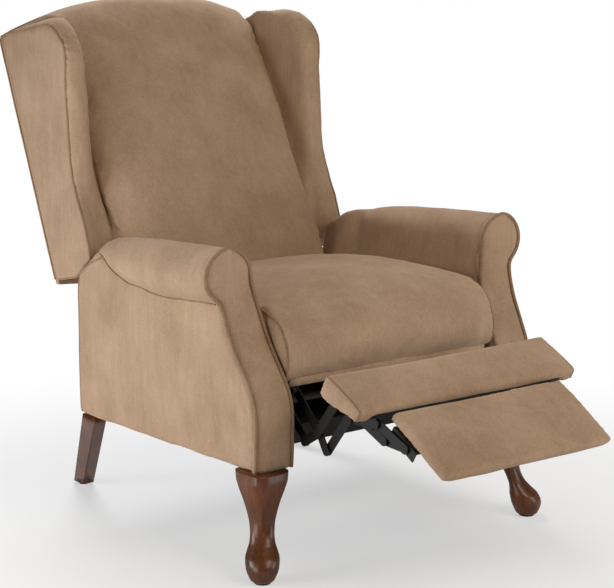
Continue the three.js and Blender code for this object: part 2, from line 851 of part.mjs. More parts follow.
function backCushion() {
  const stations = 15;
  const levels = 11;
  const rings = Array.from({ length: stations }, (_, i) => {
    const side = -1 + 2 * i / (stations - 1);
    const full = 1 - Math.abs(side) ** 2.4;
    const top = mix(crownEdge, crownHeight, 1 - side ** 2);
    const edge = (top - padBottom) / levels;
    const ring = Array.from({ length: levels }, (__, level) => {
      const height = mix(padBottom, top - edge * 0.5, level / (levels - 1));
      const swell = Math.sin(Math.PI * mix(padSwellStart, padSwellEnd, level / (levels - 1))) ** 0.5;
      return [side * padHalf, padFrontAt(height) - padCrown * full * swell, height];
    });
    const ledge = backFrameTop + gap;
    ring.push([side * padHalf, mix(padFrontAt(top), leanAt(top), 0.3), top]);
    ring.push([side * padHalf, leanAt(top - edge / 4) - outsideThick - gap, top - edge / 4]);
    ring.push([side * padHalf, leanAt(ledge) - outsideThick - gap, ledge]);
    ring.push([side * padHalf, leanAt(ledge) - padRearDepth, ledge]);
    ring.push([side * padHalf, leanAt(padBottom) - padRearDepth, padBottom]);
    return ring;
  });
  return loft(rings);
}

function backFrame() {
  const depth = [padRearDepth - gap, padRearDepth - gap - backFrameThick];
  const half = padHalf;
  const leaning = (xHalf, low, high, front, rear) => loft([low, high].map((height) => [
    [-xHalf, leanAt(height) - front, height],
    [xHalf, leanAt(height) - front, height],
    [xHalf, leanAt(height) - rear, height],
    [-xHalf, leanAt(height) - rear, height],
  ]));
  const middle = mix(backFrameBottom, backFrameTop, 0.5);
  let frame = solidOf(leaning(half, backFrameBottom, backFrameTop, depth[0], depth[1]));
  const windows = [
    [backFrameBottom + backFrameBar, middle - backFrameBar / 2],
    [middle + backFrameBar / 2, backFrameTop - backFrameBar],
  ];
  for (const [low, high] of windows) {
    frame = frame.subtract(solidOf(leaning(
      half - backFrameBar,
      low,
      high,
      depth[0] + overrun,
      depth[1] - overrun,
    )));
  }
  return geometryOf(frame);
}

function outsideBack() {
  const stations = 15;
  const rings = Array.from({ length: stations }, (_, i) => {
    const side = -1 + 2 * i / (stations - 1);
    const top = mix(outsideEdge, outsideCrown, 1 - side ** 2);
    return [
      [side * outsideHalf, leanAt(backFootZ) - outsideThick, backFootZ],
      [side * outsideHalf, leanAt(top) - outsideThick, top],
      [side * outsideHalf, leanAt(top), top],
      [side * outsideHalf, leanAt(backFootZ), backFootZ],
    ];
  });
  const lapZ = backFootZ + overrun;
  const skirt = loft([skirtBottom, lapZ].map((height) => [
    [-skirtHalf, leanAt(height) - outsideThick, height],
    [skirtHalf, leanAt(height) - outsideThick, height],
    [skirtHalf, leanAt(height), height],
    [-skirtHalf, leanAt(height), height],
  ]));
  return geometryOf(solidOf(loft(rings)).add(solidOf(skirt)));
}

// The wing, level by level: outer panel, boxed front face, inner face and rear
function wing() {
  const cornerY = backFootY - wingFootDepth;
  const rings = wingFrontShares.map(([rise, front, rear]) => {
    const height = mix(backFootZ, backWingTop, rise);
    const rearLimit = leanAt(height) - outsideThick - gap;
    const frontY = mix(cornerY, backFootY, front);
    const rearY = mix(frontY, rearLimit, rear);
    const seamY = Math.min(Math.max(padFrontAt(height), frontY + wingCorner), rearY - wingCorner);
    return [
      [wingOuter, frontY + wingFaceTurn, height],
      [wingOuter, rearY, height],
      [wingInner, rearY, height],
      [wingInner, seamY, height],
      [wingInnerEdge, frontY + wingCorner, height],
      [wingInnerEdge + wingCorner, frontY, height],
      [wingOuter - wingCorner, frontY, height],
    ];
  });
  return loft(rings);
}

function backBracket() {
  const top = backFrameBottom + backFrameBar;
  const anchor = new THREE.Vector2(leanAt(top) - padRearDepth + backFrameThick / 2, top);
  const plate = solidOf(bar(backPivot, anchor, carrierRadius, swingLayer));
  return geometryOf(riveted(plate, backPivot, swingLayer, seatLayer));
}

add(back, 'back_cushion', backCushion(), fabric);
add(back, 'back_frame', backFrame(), frameWood);
add(back, 'outside_back', outsideBack(), fabric);
addPair(back, 'wing', wing(), fabric);
addPair(back, 'back_bracket', backBracket(), blackSteel);

// Footrest linkage
function frontLink() {
  const bars = [
    bar(frontPivot, crossJoint, linkRadius, frontLayer),
    bar(crossJoint, lowJoint, linkRadius, frontLayer),
  ];
  const plate = bored(joinBars(bars), [frontPivot, crossJoint]);
  return geometryOf(riveted(plate, lowJoint, frontLayer, lowerLayer));
}

function rearLink() {
  const bars = [
    bar(rearPivot, rearJoint, linkRadius, frontLayer),
    bar(tubeCentre, rearPivot, linkRadius, frontLayer),
  ];
  return geometryOf(bored(joinBars(bars), [rearPivot, rearJoint]));
}

function driveTube() {
  const half = layerOuter(frontLayer) - steel - gap;
  const wall = solidOf(disc(tubeCentre, tubeRadius, -half, half));
  return geometryOf(wall.subtract(solidOf(disc(tubeCentre, tubeBore, -half - overrun, half + overrun))));
}

function upperLink() {
  const bars = [
    bar(rearJoint, crossJoint, linkRadius, upperLayer),
    bar(crossJoint, upperJoint, linkRadius, upperLayer),
  ];
  let plate = joinBars(bars);
  plate = riveted(plate, rearJoint, upperLayer, frontLayer);
  plate = riveted(plate, crossJoint, upperLayer, frontLayer);
  return geometryOf(riveted(plate, upperJoint, upperLayer, bracketLayer));
}

function lowerLink() {
  const plate = bored(solidOf(bar(lowJoint, lowerJoint, linkRadius, lowerLayer)), [lowJoint]);
  return geometryOf(riveted(plate, lowerJoint, lowerLayer, bracketLayer));
}

addPair(frontLinks, 'front_link', frontLink(), blackSteel);
addPair(rearLinks, 'rear_link', rearLink(), blackSteel);
add(rearLinks, 'drive_tube', driveTube(), blackSteel);
addPair(upperLinks, 'upper_link', upperLink(), blackSteel);
addPair(lowerLinks, 'lower_link', lowerLink(), blackSteel);

// Pieces drawn flat on a board are tilted into place about the board's rear top edge
function tilted(geometry, corner, tilt) {
  return geometry.rotateX(toRadians(tilt)).translate(0, corner.x, corner.y);
}

const plyTop = -footrestMidThick - gap;
const plyBottom = plyTop - plyThick;

function footrestBracket() {
  const inner = layerOuter(bracketLayer) - steel;
  const web = tilted(block(
    [inner, inner + steel],
    [-footrestDepth + plyMargin, -bracketUpperAlong],
    [-bracketUpperDrop, plyBottom - gap],
  ), boardOpen, boardTilt);
  const flange = tilted(block(
    [inner, inner + flangeWidth],
    [-footrestDepth + plyMargin, -bracketUpperAlong],
    [plyBottom - gap - steel, plyBottom - gap],
  ), boardOpen, boardTilt);
  const bars = [
    bar(upperJoint, lowerJoint, linkRadius, bracketLayer),
    bar(lowerJoint, frontArmPivot, linkRadius, bracketLayer),
    bar(frontArmPivot, rearArmPivot, linkRadius, bracketLayer),
    web,
    flange,
  ];
  let plate = bored(joinBars(bars), [upperJoint, lowerJoint]);
  for (const centre of [frontArmPivot, rearArmPivot]) {
    plate = riveted(plate, centre, bracketLayer, armLayer);
  }
  return geometryOf(plate);
}

function extensionArm(from, to) {
  const plate = bored(solidOf(bar(from, to, linkRadius, armLayer)), [from]);
  return geometryOf(riveted(plate, to, armLayer, extensionLayer));
}

function extensionBracket() {
  const inner = layerOuter(extensionLayer) - steel;
  const top = -extensionThick - gap;
  const flange = tilted(block(
    [inner - flangeWidth, inner + steel],
    [-extensionDepth / 2, -extensionBoardMargin],
    [top - steel, top],
  ), extensionCorner, extensionTilt);
  const web = tilted(block(
    [inner, inner + steel],
    [-extensionDepth / 2, -extensionBoardMargin],
    [top - extensionThick, top],
  ), extensionCorner, extensionTilt);
  const bars = [bar(frontArmEnd, rearArmEnd, linkRadius, extensionLayer), flange, web];
  return geometryOf(bored(joinBars(bars), [frontArmEnd, rearArmEnd]));
}

// A padded board drawn flat: rear edge at zero, crown on top, rounded front nose
const footrestOutlineShares = [
  [0, -0.1], [0.06, -0.01], [0.25, 0.08], [0.5, 0.12], [0.75, 0.08], [0.93, -0.04], [1, -0.22],
  [0.985, -0.55], [0.92, -0.78], [0.5, -1], [0.2, -1], [0.02, -0.9],
];

function paddedBoard(half, depth, thick, crown, shares) {
  const stations = 13;
  return loft(Array.from({ length: stations }, (_, i) => {
    const side = -1 + 2 * i / (stations - 1);
    const full = 1 - Math.abs(side) ** 3;
    return shares.map(([along, rise]) => [
      side * half,
      -along * depth,
      rise > 0 ? rise * thick * full * crown / thick / 0.12 : rise * thick,
    ]);
  }));
}

function footrestPad() {
  const pad = solidOf(paddedBoard(
    footrestHalf,
    footrestDepth,
    footrestThick,
    footrestCrown,
    footrestOutlineShares,
  ));
  const hollow = block(
    [-footrestHalf + footrestFlap, footrestHalf - footrestFlap],
    [-footrestDepth - overrun, overrun],
    [-footrestThick - overrun, -footrestMidThick],
  );
  return tilted(geometryOf(pad.subtract(solidOf(hollow))), boardOpen, boardTilt);
}

const extensionOutlineShares = [
  [0, -0.4], [0.03, -0.1], [0.25, 0.1], [0.5, 0.12], [0.75, 0.1], [0.96, -0.08], [1, -0.45],
  [0.98, -0.85], [0.9, -1], [0.1, -1], [0.02, -0.85],
];

function extensionPad() {
  const pad = solidOf(paddedBoard(
    extensionHalf,
    extensionDepth,
    extensionThick,
    extensionCrown,
    extensionOutlineShares,
  ));
  const recess = block(
    [-extensionHalf + extensionBoardMargin, extensionHalf - extensionBoardMargin],
    [-extensionDepth + extensionBoardMargin * 1.4, -extensionBoardMargin * 1.4],
    [-extensionThick - overrun, -extensionSkin],
  );
  return tilted(geometryOf(pad.subtract(solidOf(recess))), extensionCorner, extensionTilt);
}

function extensionBoard() {
  return tilted(block(
    [-extensionHalf + extensionBoardMargin + gap, extensionHalf - extensionBoardMargin - gap],
    [-extensionDepth + extensionBoardMargin * 1.4 + gap, -extensionBoardMargin * 1.4 - gap],
    [-extensionThick, -extensionSkin - gap],
  ), extensionCorner, extensionTilt);
}

addPair(footrest, 'footrest_bracket', footrestBracket(), blackSteel);
add(footrest, 'footrest_board', tilted(block(
  [-footrestHalf + footrestFlap + gap, footrestHalf - footrestFlap - gap],
  [-footrestDepth + plyMargin, -plyMargin],
  [plyBottom, plyTop],
), boardOpen, boardTilt), frameWood);
add(footrest, 'footrest_pad', footrestPad(), fabric);
addPair(frontArms, 'extension_front_arm', extensionArm(frontArmPivot, frontArmEnd), blackSteel);
addPair(rearArms, 'extension_rear_arm', extensionArm(rearArmPivot, rearArmEnd), blackSteel);
addPair(extension, 'extension_bracket', extensionBracket(), blackSteel);
add(extension, 'extension_board', extensionBoard(), frameWood);
add(extension, 'extension_pad', extensionPad(), fabric);

// The origin lies on the floor in the middle of the whole chair as it stands
const whole = new THREE.Box3().setFromObject(chair);
chair.position.y = -(whole.min.y + whole.max.y) / 2;

export default chair;
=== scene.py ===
"""Dresses a packed wingback recliner with soft upholstery, polished legs and painted steel.

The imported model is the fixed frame. Lengths in the classes are millimetres: X to the right seen
from the front, Y to the rear, Z up from the floor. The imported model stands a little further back
than these lengths, and each sub-assembly adds that shift where it places a point.
"""

import json
import logging
import math
from collections.abc import Callable
from dataclasses import dataclass, field
from enum import Enum

import bmesh
import bpy
import numpy as np
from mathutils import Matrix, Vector, bvhtree, kdtree, noise

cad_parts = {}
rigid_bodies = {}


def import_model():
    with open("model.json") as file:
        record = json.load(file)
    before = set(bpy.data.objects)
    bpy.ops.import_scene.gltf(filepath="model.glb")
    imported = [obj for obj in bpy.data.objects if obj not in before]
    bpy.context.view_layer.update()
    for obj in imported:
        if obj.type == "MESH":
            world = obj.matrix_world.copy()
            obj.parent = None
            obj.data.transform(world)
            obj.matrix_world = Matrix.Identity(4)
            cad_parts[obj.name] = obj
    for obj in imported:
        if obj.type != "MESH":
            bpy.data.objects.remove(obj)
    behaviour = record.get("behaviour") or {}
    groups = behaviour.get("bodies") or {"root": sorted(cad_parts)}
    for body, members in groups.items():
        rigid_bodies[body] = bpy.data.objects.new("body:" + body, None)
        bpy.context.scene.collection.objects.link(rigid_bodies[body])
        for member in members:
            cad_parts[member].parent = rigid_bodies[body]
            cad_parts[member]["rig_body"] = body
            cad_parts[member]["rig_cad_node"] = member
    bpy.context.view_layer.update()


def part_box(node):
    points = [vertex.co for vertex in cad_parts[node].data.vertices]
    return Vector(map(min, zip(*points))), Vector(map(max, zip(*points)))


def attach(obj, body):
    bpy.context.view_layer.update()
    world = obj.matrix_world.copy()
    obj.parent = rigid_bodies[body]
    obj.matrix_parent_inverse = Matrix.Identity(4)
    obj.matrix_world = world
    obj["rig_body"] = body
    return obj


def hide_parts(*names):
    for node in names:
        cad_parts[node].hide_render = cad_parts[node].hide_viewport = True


Point = tuple[float, float, float]
Pair = tuple[float, float]
Outline = tuple[Pair, ...]
Table = tuple[tuple[float, ...], ...]

LOG = logging.getLogger("recliner")
MM = 0.001
# Steps on each span of a curve, before its points are spaced evenly.
SPAN_STEPS = 16
# Points of a mesh that lie this close, in millimetres, become one.
WELD = 0.05
# How many sides a welt's cord has.
CORD_SIDES = 8
# A welt's point that lies further than this from its owner, in millimetres, stays where it is.
WELT_REACH = 22.0
# Face size of a padded cover, in millimetres.
COVER_VOXEL = 6.0
# How many frames a stuffed cover takes to come to rest.
FILL_FRAMES = 20


class Side(Enum):
    """A side of the chair, by the sign of X and the prefix of its nodes."""

    LEFT = (-1, "left")
    RIGHT = (1, "right")

    @property
    def sign(self) -> int:
        """The sign of X on this side."""
        return self.value[0]

    @property
    def word(self) -> str:
        """The word that this side's nodes start with."""
        return self.value[1]


# Numbers and curves


def mix(low: float, high: float, share: float) -> float:
    """The number at that share of the way from low to high."""
    return low + (high - low) * share


def smooth(share: float) -> float:
    """An S-shaped step from 0 to 1."""
    share = min(max(share, 0.0), 1.0)
    return share * share * (3 - 2 * share)


def ramp(value: float, start: float, end: float) -> float:
    """A smooth step that is 0 up to the start and 1 from the end on."""
    return smooth((value - start) / (end - start))


def bell(distance: float, width: float) -> float:
    """A bell curve that is 1 at distance 0."""
    return math.exp(-((distance / width) ** 2))


def across(half: float, steps: int) -> list[float]:
    """Places from minus half to plus half, closer together at the ends."""
    return [half * math.sin(math.pi / 2 * mix(-1, 1, k / (steps - 1))) for k in range(steps)]


def read(table: Table, place: float, column: int = 1) -> float:
    """Reads a table smoothly by its first column.

    Args:
        table: Rows in rising order of their first number.
        place: The number to look up.
        column: The column to return.

    Returns:
        The monotone cubic reading, held at both ends.
    """
    xs = [row[0] for row in table]
    ys = [row[column] for row in table]
    if place <= xs[0]:
        return ys[0]
    if place >= xs[-1]:
        return ys[-1]
    slopes = [(ys[i + 1] - ys[i]) / (xs[i + 1] - xs[i]) for i in range(len(xs) - 1)]
    at = [slopes[0]]
    for before, after in zip(slopes, slopes[1:]):
        at.append(0.0 if before * after <= 0 else 2 * before * after / (before + after))
    at.append(slopes[-1])
    i = max(k for k in range(len(xs) - 1) if xs[k] <= place)
    width = xs[i + 1] - xs[i]
    t = (place - xs[i]) / width
    return (
        ys[i] * (1 + 2 * t) * (1 - t) ** 2
        + at[i] * width * t * (1 - t) ** 2
        + ys[i + 1] * t * t * (3 - 2 * t)
        + at[i + 1] * width * t * t * (t - 1)
    )


def curve_through(points: list[Point], count: int) -> list[Point]:
    """Evenly spaced points on a centripetal Catmull-Rom curve.

    Args:
        points: The points that the curve passes through.
        count: How many points to return.

    Returns:
        The new points, in order.
    """
    knots = [Vector(p) for p in points]
    knots = [2 * knots[0] - knots[1], *knots, 2 * knots[-1] - knots[-2]]
    dense: list[Vector] = []
    for i in range(1, len(knots) - 2):
        dense.extend(span(knots[i - 1 : i + 3]))
    dense.append(knots[-2])
    return resample([tuple(p) for p in dense], count)


def span(knots: list[Vector]) -> list[Vector]:
    """One span of a centripetal Catmull-Rom curve.

    Args:
        knots: The span's two ends with one more point before and after them.

    Returns:
        The span's points, without the last one.
    """
    times = [0.0]
    for a, b in zip(knots, knots[1:]):
        times.append(times[-1] + max((b - a).length, 1e-6) ** 0.5)
    made = []
    for step in range(SPAN_STEPS):
        t = mix(times[1], times[2], step / SPAN_STEPS)
        level = list(knots)
        for depth in range(1, 4):
            level = [
                (level[i] * (times[i + depth] - t) + level[i + 1] * (t - times[i]))
                / (times[i + depth] - times[i])
                for i in range(len(level) - 1)
            ]
        made.append(level[0])
    return made


def resample(points: list[Point], count: int) -> list[Point]:
    """Spaces a line's points evenly.

    Args:
        points: The line's points.
        count: How many points to return.

    Returns:
        The new points, with both ends kept.
    """
    line = np.array(points, float)
    along = np.concatenate([[0], np.cumsum(np.linalg.norm(np.diff(line, axis=0), axis=1))])
    want = np.linspace(0, along[-1], count)
    return [tuple(np.interp(w, along, line[:, k]) for k in range(3)) for w in want]


def side_points(line: list[Pair] | Outline, count: int) -> list[Pair]:
    """A smooth side outline through points of Y and Z."""
    return [(y, z) for _, y, z in curve_through([(0.0, y, z) for y, z in line], count)]


def outline_rings(
    outline: list[Pair], xs: list[float], shape: Callable[[float, float, float], Pair], shift: float
) -> list[list[Point]]:
    """Rings across the chair from one outline seen from the side.

    Args:
        outline: Y and Z of the outline's points.
        xs: Where the rings stand along X.
        shape: A function of X, Y and Z that returns the shaped Y and Z.
        shift: The frame's shift along Y.

    Returns:
        The rings.
    """
    rings = []
    for x in xs:
        shaped = [shape(x, y, z) for y, z in outline]
        rings.append([(x, y + shift, z) for y, z in shaped])
    return rings


# Meshes


def mesh_object(name: str, points: list[Point], faces: list[tuple[int, ...]]) -> bpy.types.Object:
    """A smooth-shaded mesh object from points in millimetres.

    Args:
        name: The object's name.
        points: Vertices in millimetres, in the frame's axes.
        faces: Corner indices of each face.

    Returns:
        The new object, with its normals facing out.
    """
    mesh = bpy.data.meshes.new(name)
    mesh.from_pydata([tuple(c * MM for c in p) for p in points], [], faces)
    tidy = bmesh.new()
    tidy.from_mesh(mesh)
    bmesh.ops.remove_doubles(tidy, verts=tidy.verts, dist=WELD * MM)
    bmesh.ops.recalc_face_normals(tidy, faces=tidy.faces)
    tidy.to_mesh(mesh)
    tidy.free()
    mesh.shade_smooth()
    made = bpy.data.objects.new(name, mesh)
    bpy.context.scene.collection.objects.link(made)
    return made


def loft(name: str, rings: list[list[Point]]) -> bpy.types.Object:
    """A skin through rings of equal size, with flat ends.

    Args:
        name: The object's name.
        rings: Rings of points in millimetres.

    Returns:
        The new object.
    """
    size = len(rings[0])
    points = [p for ring in rings for p in ring]
    faces: list[tuple[int, ...]] = []
    for here in range(0, len(points) - size, size):
        for i in range(size):
            j = (i + 1) % size
            faces.append((here + i, here + j, here + size + j, here + size + i))
    faces.append(tuple(range(size)))
    faces.append(tuple(range(len(points) - size, len(points))))
    return mesh_object(name, points, faces)


def tube(name: str, path: list[Point], radius: float) -> bpy.types.Object:
    """A round cord of fabric along a path, such as a welt.

    Args:
        name: The object's name.
        path: Points in millimetres.
        radius: The cord's radius in millimetres.

    Returns:
        The new mesh object.
    """
    line = [Vector(p) for p in path]
    turns = [k * math.tau / CORD_SIDES for k in range(CORD_SIDES)]
    rings = []
    side = Vector((0, 0, 1))
    for i, here in enumerate(line):
        run = line[min(i + 1, len(line) - 1)] - line[max(i - 1, 0)]
        run.normalize()
        if i == 0 and abs(run.dot(side)) > 0.9:
            side = Vector((1, 0, 0))
        side = (side - run * side.dot(run)).normalized()
        other = run.cross(side)
        rings.append([tuple(here + (side * math.cos(t) + other * math.sin(t)) * radius) for t in turns])
    return loft(name, rings)


def applied(made: bpy.types.Object) -> bpy.types.Object:
    """Applies the object's modifiers to its mesh.

    Args:
        made: The object.

    Returns:
        The same object.
    """
    graph = bpy.context.evaluated_depsgraph_get()
    fresh = bpy.data.meshes.new_from_object(made.evaluated_get(graph))
    made.modifiers.clear()
    old = made.data
    made.data = fresh
    bpy.data.meshes.remove(old)
    fresh.shade_smooth()
    return made


def remeshed(made: bpy.types.Object, voxel: float, rounds: int) -> bpy.types.Object:
    """The object as an even mesh whose corners are rounded over as padding rounds them.

    Args:
        made: A closed mesh object.
        voxel: The new face size in millimetres.
        rounds: How many smoothing rounds soften its corners.

    Returns:
        The same object.
    """
    cut = made.modifiers.new("even", "REMESH")
    cut.mode = "VOXEL"
    cut.voxel_size = voxel * MM
    cut.use_smooth_shade = True
    soften = made.modifiers.new("soften", "SMOOTH")
    soften.factor = 0.5
    soften.iterations = rounds
    return applied(made)


def inflated(made: bpy.types.Object, pressure: float, cap: float) -> bpy.types.Object:
    """Fills the object like a stuffed cover with a short cloth simulation.

    Args:
        made: An evenly meshed closed object.
        pressure: The cloth's inner pressure.
        cap: The furthest that a point may move, in millimetres.

    Returns: The same object.
    """
    before = np.array([v.co for v in made.data.vertices])
    cloth = made.modifiers.new("fill", "CLOTH")
    cloth.settings.use_pressure = True
    cloth.settings.uniform_pressure_force = pressure
    cloth.settings.quality = 2
    cloth.settings.effector_weights.gravity = 0
    cloth.settings.tension_stiffness = 25
    cloth.settings.compression_stiffness = 25
    cloth.settings.bending_stiffness = 4
    cloth.point_cache.frame_start = 1
    cloth.point_cache.frame_end = FILL_FRAMES
    for frame in range(1, FILL_FRAMES + 1):
        bpy.context.scene.frame_set(frame)
    graph = bpy.context.evaluated_depsgraph_get()
    shaped = made.evaluated_get(graph).to_mesh()
    after = np.array([v.co for v in shaped.vertices])
    made.evaluated_get(graph).to_mesh_clear()
    made.modifiers.clear()
    bpy.context.scene.frame_set(1)
    move = after - before
    length = np.linalg.norm(move, axis=1, keepdims=True)
    move *= np.minimum(1, cap * MM / np.maximum(length, 1e-9))
    made.data.vertices.foreach_set("co", (before + move).astype(np.float32).ravel())
    made.data.update()
    return made


def displaced(made: bpy.types.Object, shift: Callable[[Vector], float]) -> bpy.types.Object:
    """Moves each vertex along its normal.

    Args:
        made: The object to change.
        shift: A function of the vertex's place in millimetres, that returns how far it moves
            out, in millimetres.

    Returns:
        The same object.
    """
    mesh = made.data
    places = np.zeros(len(mesh.vertices) * 3, np.float32)
    normals = np.zeros_like(places)
    mesh.vertices.foreach_get("co", places)
    mesh.vertices.foreach_get("normal", normals)
    places = places.reshape(-1, 3)
    out = [shift(Vector(p) / MM) for p in places.tolist()]
    places += normals.reshape(-1, 3) * np.array(out, np.float32)[:, None] * MM
    mesh.vertices.foreach_set("co", places.ravel())
    mesh.update()
    return made


class Line:
    """A seam line in space, for grooves and gathers beside it."""

    def __init__(self, points: list[Point]) -> None:
        """Keeps the points and how far along each one lies.

        Args:
            points: The seam's points in millimetres.
        """
        self.points = [Vector(p) for p in points]
        self.tree = kdtree.KDTree(len(points))
        self.along = [0.0]
        for i, p in enumerate(self.points):
            self.tree.insert(p, i)
            if i:
                self.along.append(self.along[-1] + (p - self.points[i - 1]).length)
        self.tree.balance()

    def near(self, place: Vector) -> Pair:
        """How far the place is from the line, and how far along the line, in millimetres."""
        _, index, distance = self.tree.find(place)
        return distance, self.along[index]

    def groove(self, place: Vector, width: float, depth: float) -> float:
        """How far a stitched seam pulls the cover in at that place."""
        return -depth * bell(self.near(place)[0], width)

    def gathers(self, place: Vector, reach: float, height: float, pitch: float, seed: float) -> float:
        """How far small gathers beside the seam lift the cover.

        Args:
            place: The place on the cover.
            reach: How far the gathers run away from the seam.
            height: How far they stand up.
            pitch: The distance from one to the next.
            seed: Where in the noise this seam starts.

        Returns:
            The lift in millimetres.
        """
        distance, along = self.near(place)
        if distance > reach * 3:
            return 0.0
        # Real gathers are neither evenly spaced nor equally strong.
        wander = noise.noise(Vector((along / (pitch * 2.3), seed, 0.0)))
        wave = math.sin(along / pitch * math.tau + wander * 5)
        strength = max(0.0, 0.45 + noise.noise(Vector((along / 70, seed + 4, 0.0))))
        return height * wave * strength * bell(distance, reach)


def seated(path: list[Point], owner: bpy.types.Object, proud: float) -> list[Point]:
    """The path moved onto the owner's surface, so that a welt lies tight on it.

    Args:
        path: Points in millimetres.
        owner: The piece that the path runs on.
        proud: How far the path stands off the surface, in millimetres.

    Returns:
        The moved path, slightly evened out.
    """
    skin = bvhtree.BVHTree.FromPolygons(
        [v.co for v in owner.data.vertices], [p.vertices for p in owner.data.polygons]
    )
    moved = []
    for point in path:
        place, normal, _, distance = skin.find_nearest(Vector(point) * MM)
        far = distance > WELT_REACH * MM
        moved.append(Vector(point) if far else place / MM + normal * proud)
    for _ in range(2):
        inner = [(a + 2 * b + c) / 4 for a, b, c in zip(moved, moved[1:], moved[2:])]
        moved = [moved[0], *inner, moved[-1]]
    return [tuple(point) for point in moved]


def ripple(place: Vector, height: float, size: float, seed: float) -> float:
    """Slow unevenness of padding under a cover, in millimetres."""
    return height * noise.noise(place / size + Vector((seed, seed * 0.7, -seed)))


# Materials


def linear(code: str) -> tuple[float, float, float, float]:
    """An sRGB hex colour as linear numbers with full alpha.

    Args:
        code: Six hex digits after a hash sign.

    Returns:
        Red, green, blue and alpha.
    """
    parts = [int(code[i : i + 2], 16) / 255 for i in (1, 3, 5)]
    turned = [c / 12.92 if c <= 0.04045 else ((c + 0.055) / 1.055) ** 2.4 for c in parts]
    return (*turned, 1.0)


def add(
    tree: bpy.types.NodeTree, kind: str, settings: dict | None = None, **inputs: object
) -> bpy.types.Node:
    """Adds one node.

    Args:
        tree: The node tree.
        kind: The node's type.
        settings: Attributes of the node itself.
        inputs: Socket names with underscores for spaces, or i and a socket's number, each with a
            value or another socket.

    Returns:
        The node.
    """
    made = tree.nodes.new(kind)
    for name, value in (settings or {}).items():
        setattr(made, name, value)
    for name, value in inputs.items():
        key = int(name[1:]) if name[0] == "i" and name[1:].isdigit() else name.replace("_", " ")
        socket = made.inputs[key]
        if isinstance(value, bpy.types.NodeSocket):
            tree.links.new(value, socket)
        else:
            socket.default_value = value
    return made


def new_material(name: str) -> tuple[bpy.types.Material, bpy.types.NodeTree]:
    """A node material without any node.

    Args:
        name: The material's name.

    Returns:
        The material and its tree.
    """
    made = bpy.data.materials.new(name)
    made.use_nodes = True
    made.node_tree.nodes.clear()
    return made, made.node_tree


def fill_ramp(node: bpy.types.Node, stops: list[tuple[float, str]]) -> None:
    """Sets a colour ramp's stops.

    Args:
        node: The colour ramp.
        stops: The place and the hex colour of each stop.
    """
    ramp = node.color_ramp
    while len(ramp.elements) < len(stops):
        ramp.elements.new(0.5)
    for element, (place, code) in zip(ramp.elements, stops):
        element.position = place
        element.color = linear(code)


def waves(width_mm: float, length_mm: float | None = None) -> Point:
    """Waves in a metre along X, Y and Z, for a pattern that wide and, along Z, that long."""
    return (1000 / width_mm, 1000 / width_mm, 1000 / (length_mm or width_mm))


def grain(tree: bpy.types.NodeTree, per_metre: Point, detail: float, rough: float) -> bpy.types.Node:
    """Noise in the object's own space.

    Args:
        tree: The node tree.
        per_metre: How many waves lie in a metre along each axis.
        detail: The noise's octaves.
        rough: The strength of the finer octaves.

    Returns:
        The noise node.
    """
    place = add(tree, "ShaderNodeTexCoord")
    scaled = add(tree, "ShaderNodeMapping", Vector=place.outputs["Object"], Scale=per_metre)
    turned = scaled.outputs["Vector"]
    return add(tree, "ShaderNodeTexNoise", Vector=turned, Scale=1.0, Detail=detail, Roughness=rough)


def blended(
    tree: bpy.types.NodeTree,
    first: bpy.types.NodeSocket,
    second: bpy.types.Node,
    share: float,
) -> bpy.types.NodeSocket:
    """A value mixed with a share of a noise node's value.

    Args:
        tree: The node tree.
        first: The value at share 0.
        second: The noise node whose value is used at share 1.
        share: How much of the second value is used.

    Returns:
        The mixed value's socket.
    """
    fac = second.outputs["Fac"]
    return add(tree, "ShaderNodeMix", {"data_type": "FLOAT"}, i0=share, i2=first, i3=fac).outputs[0]


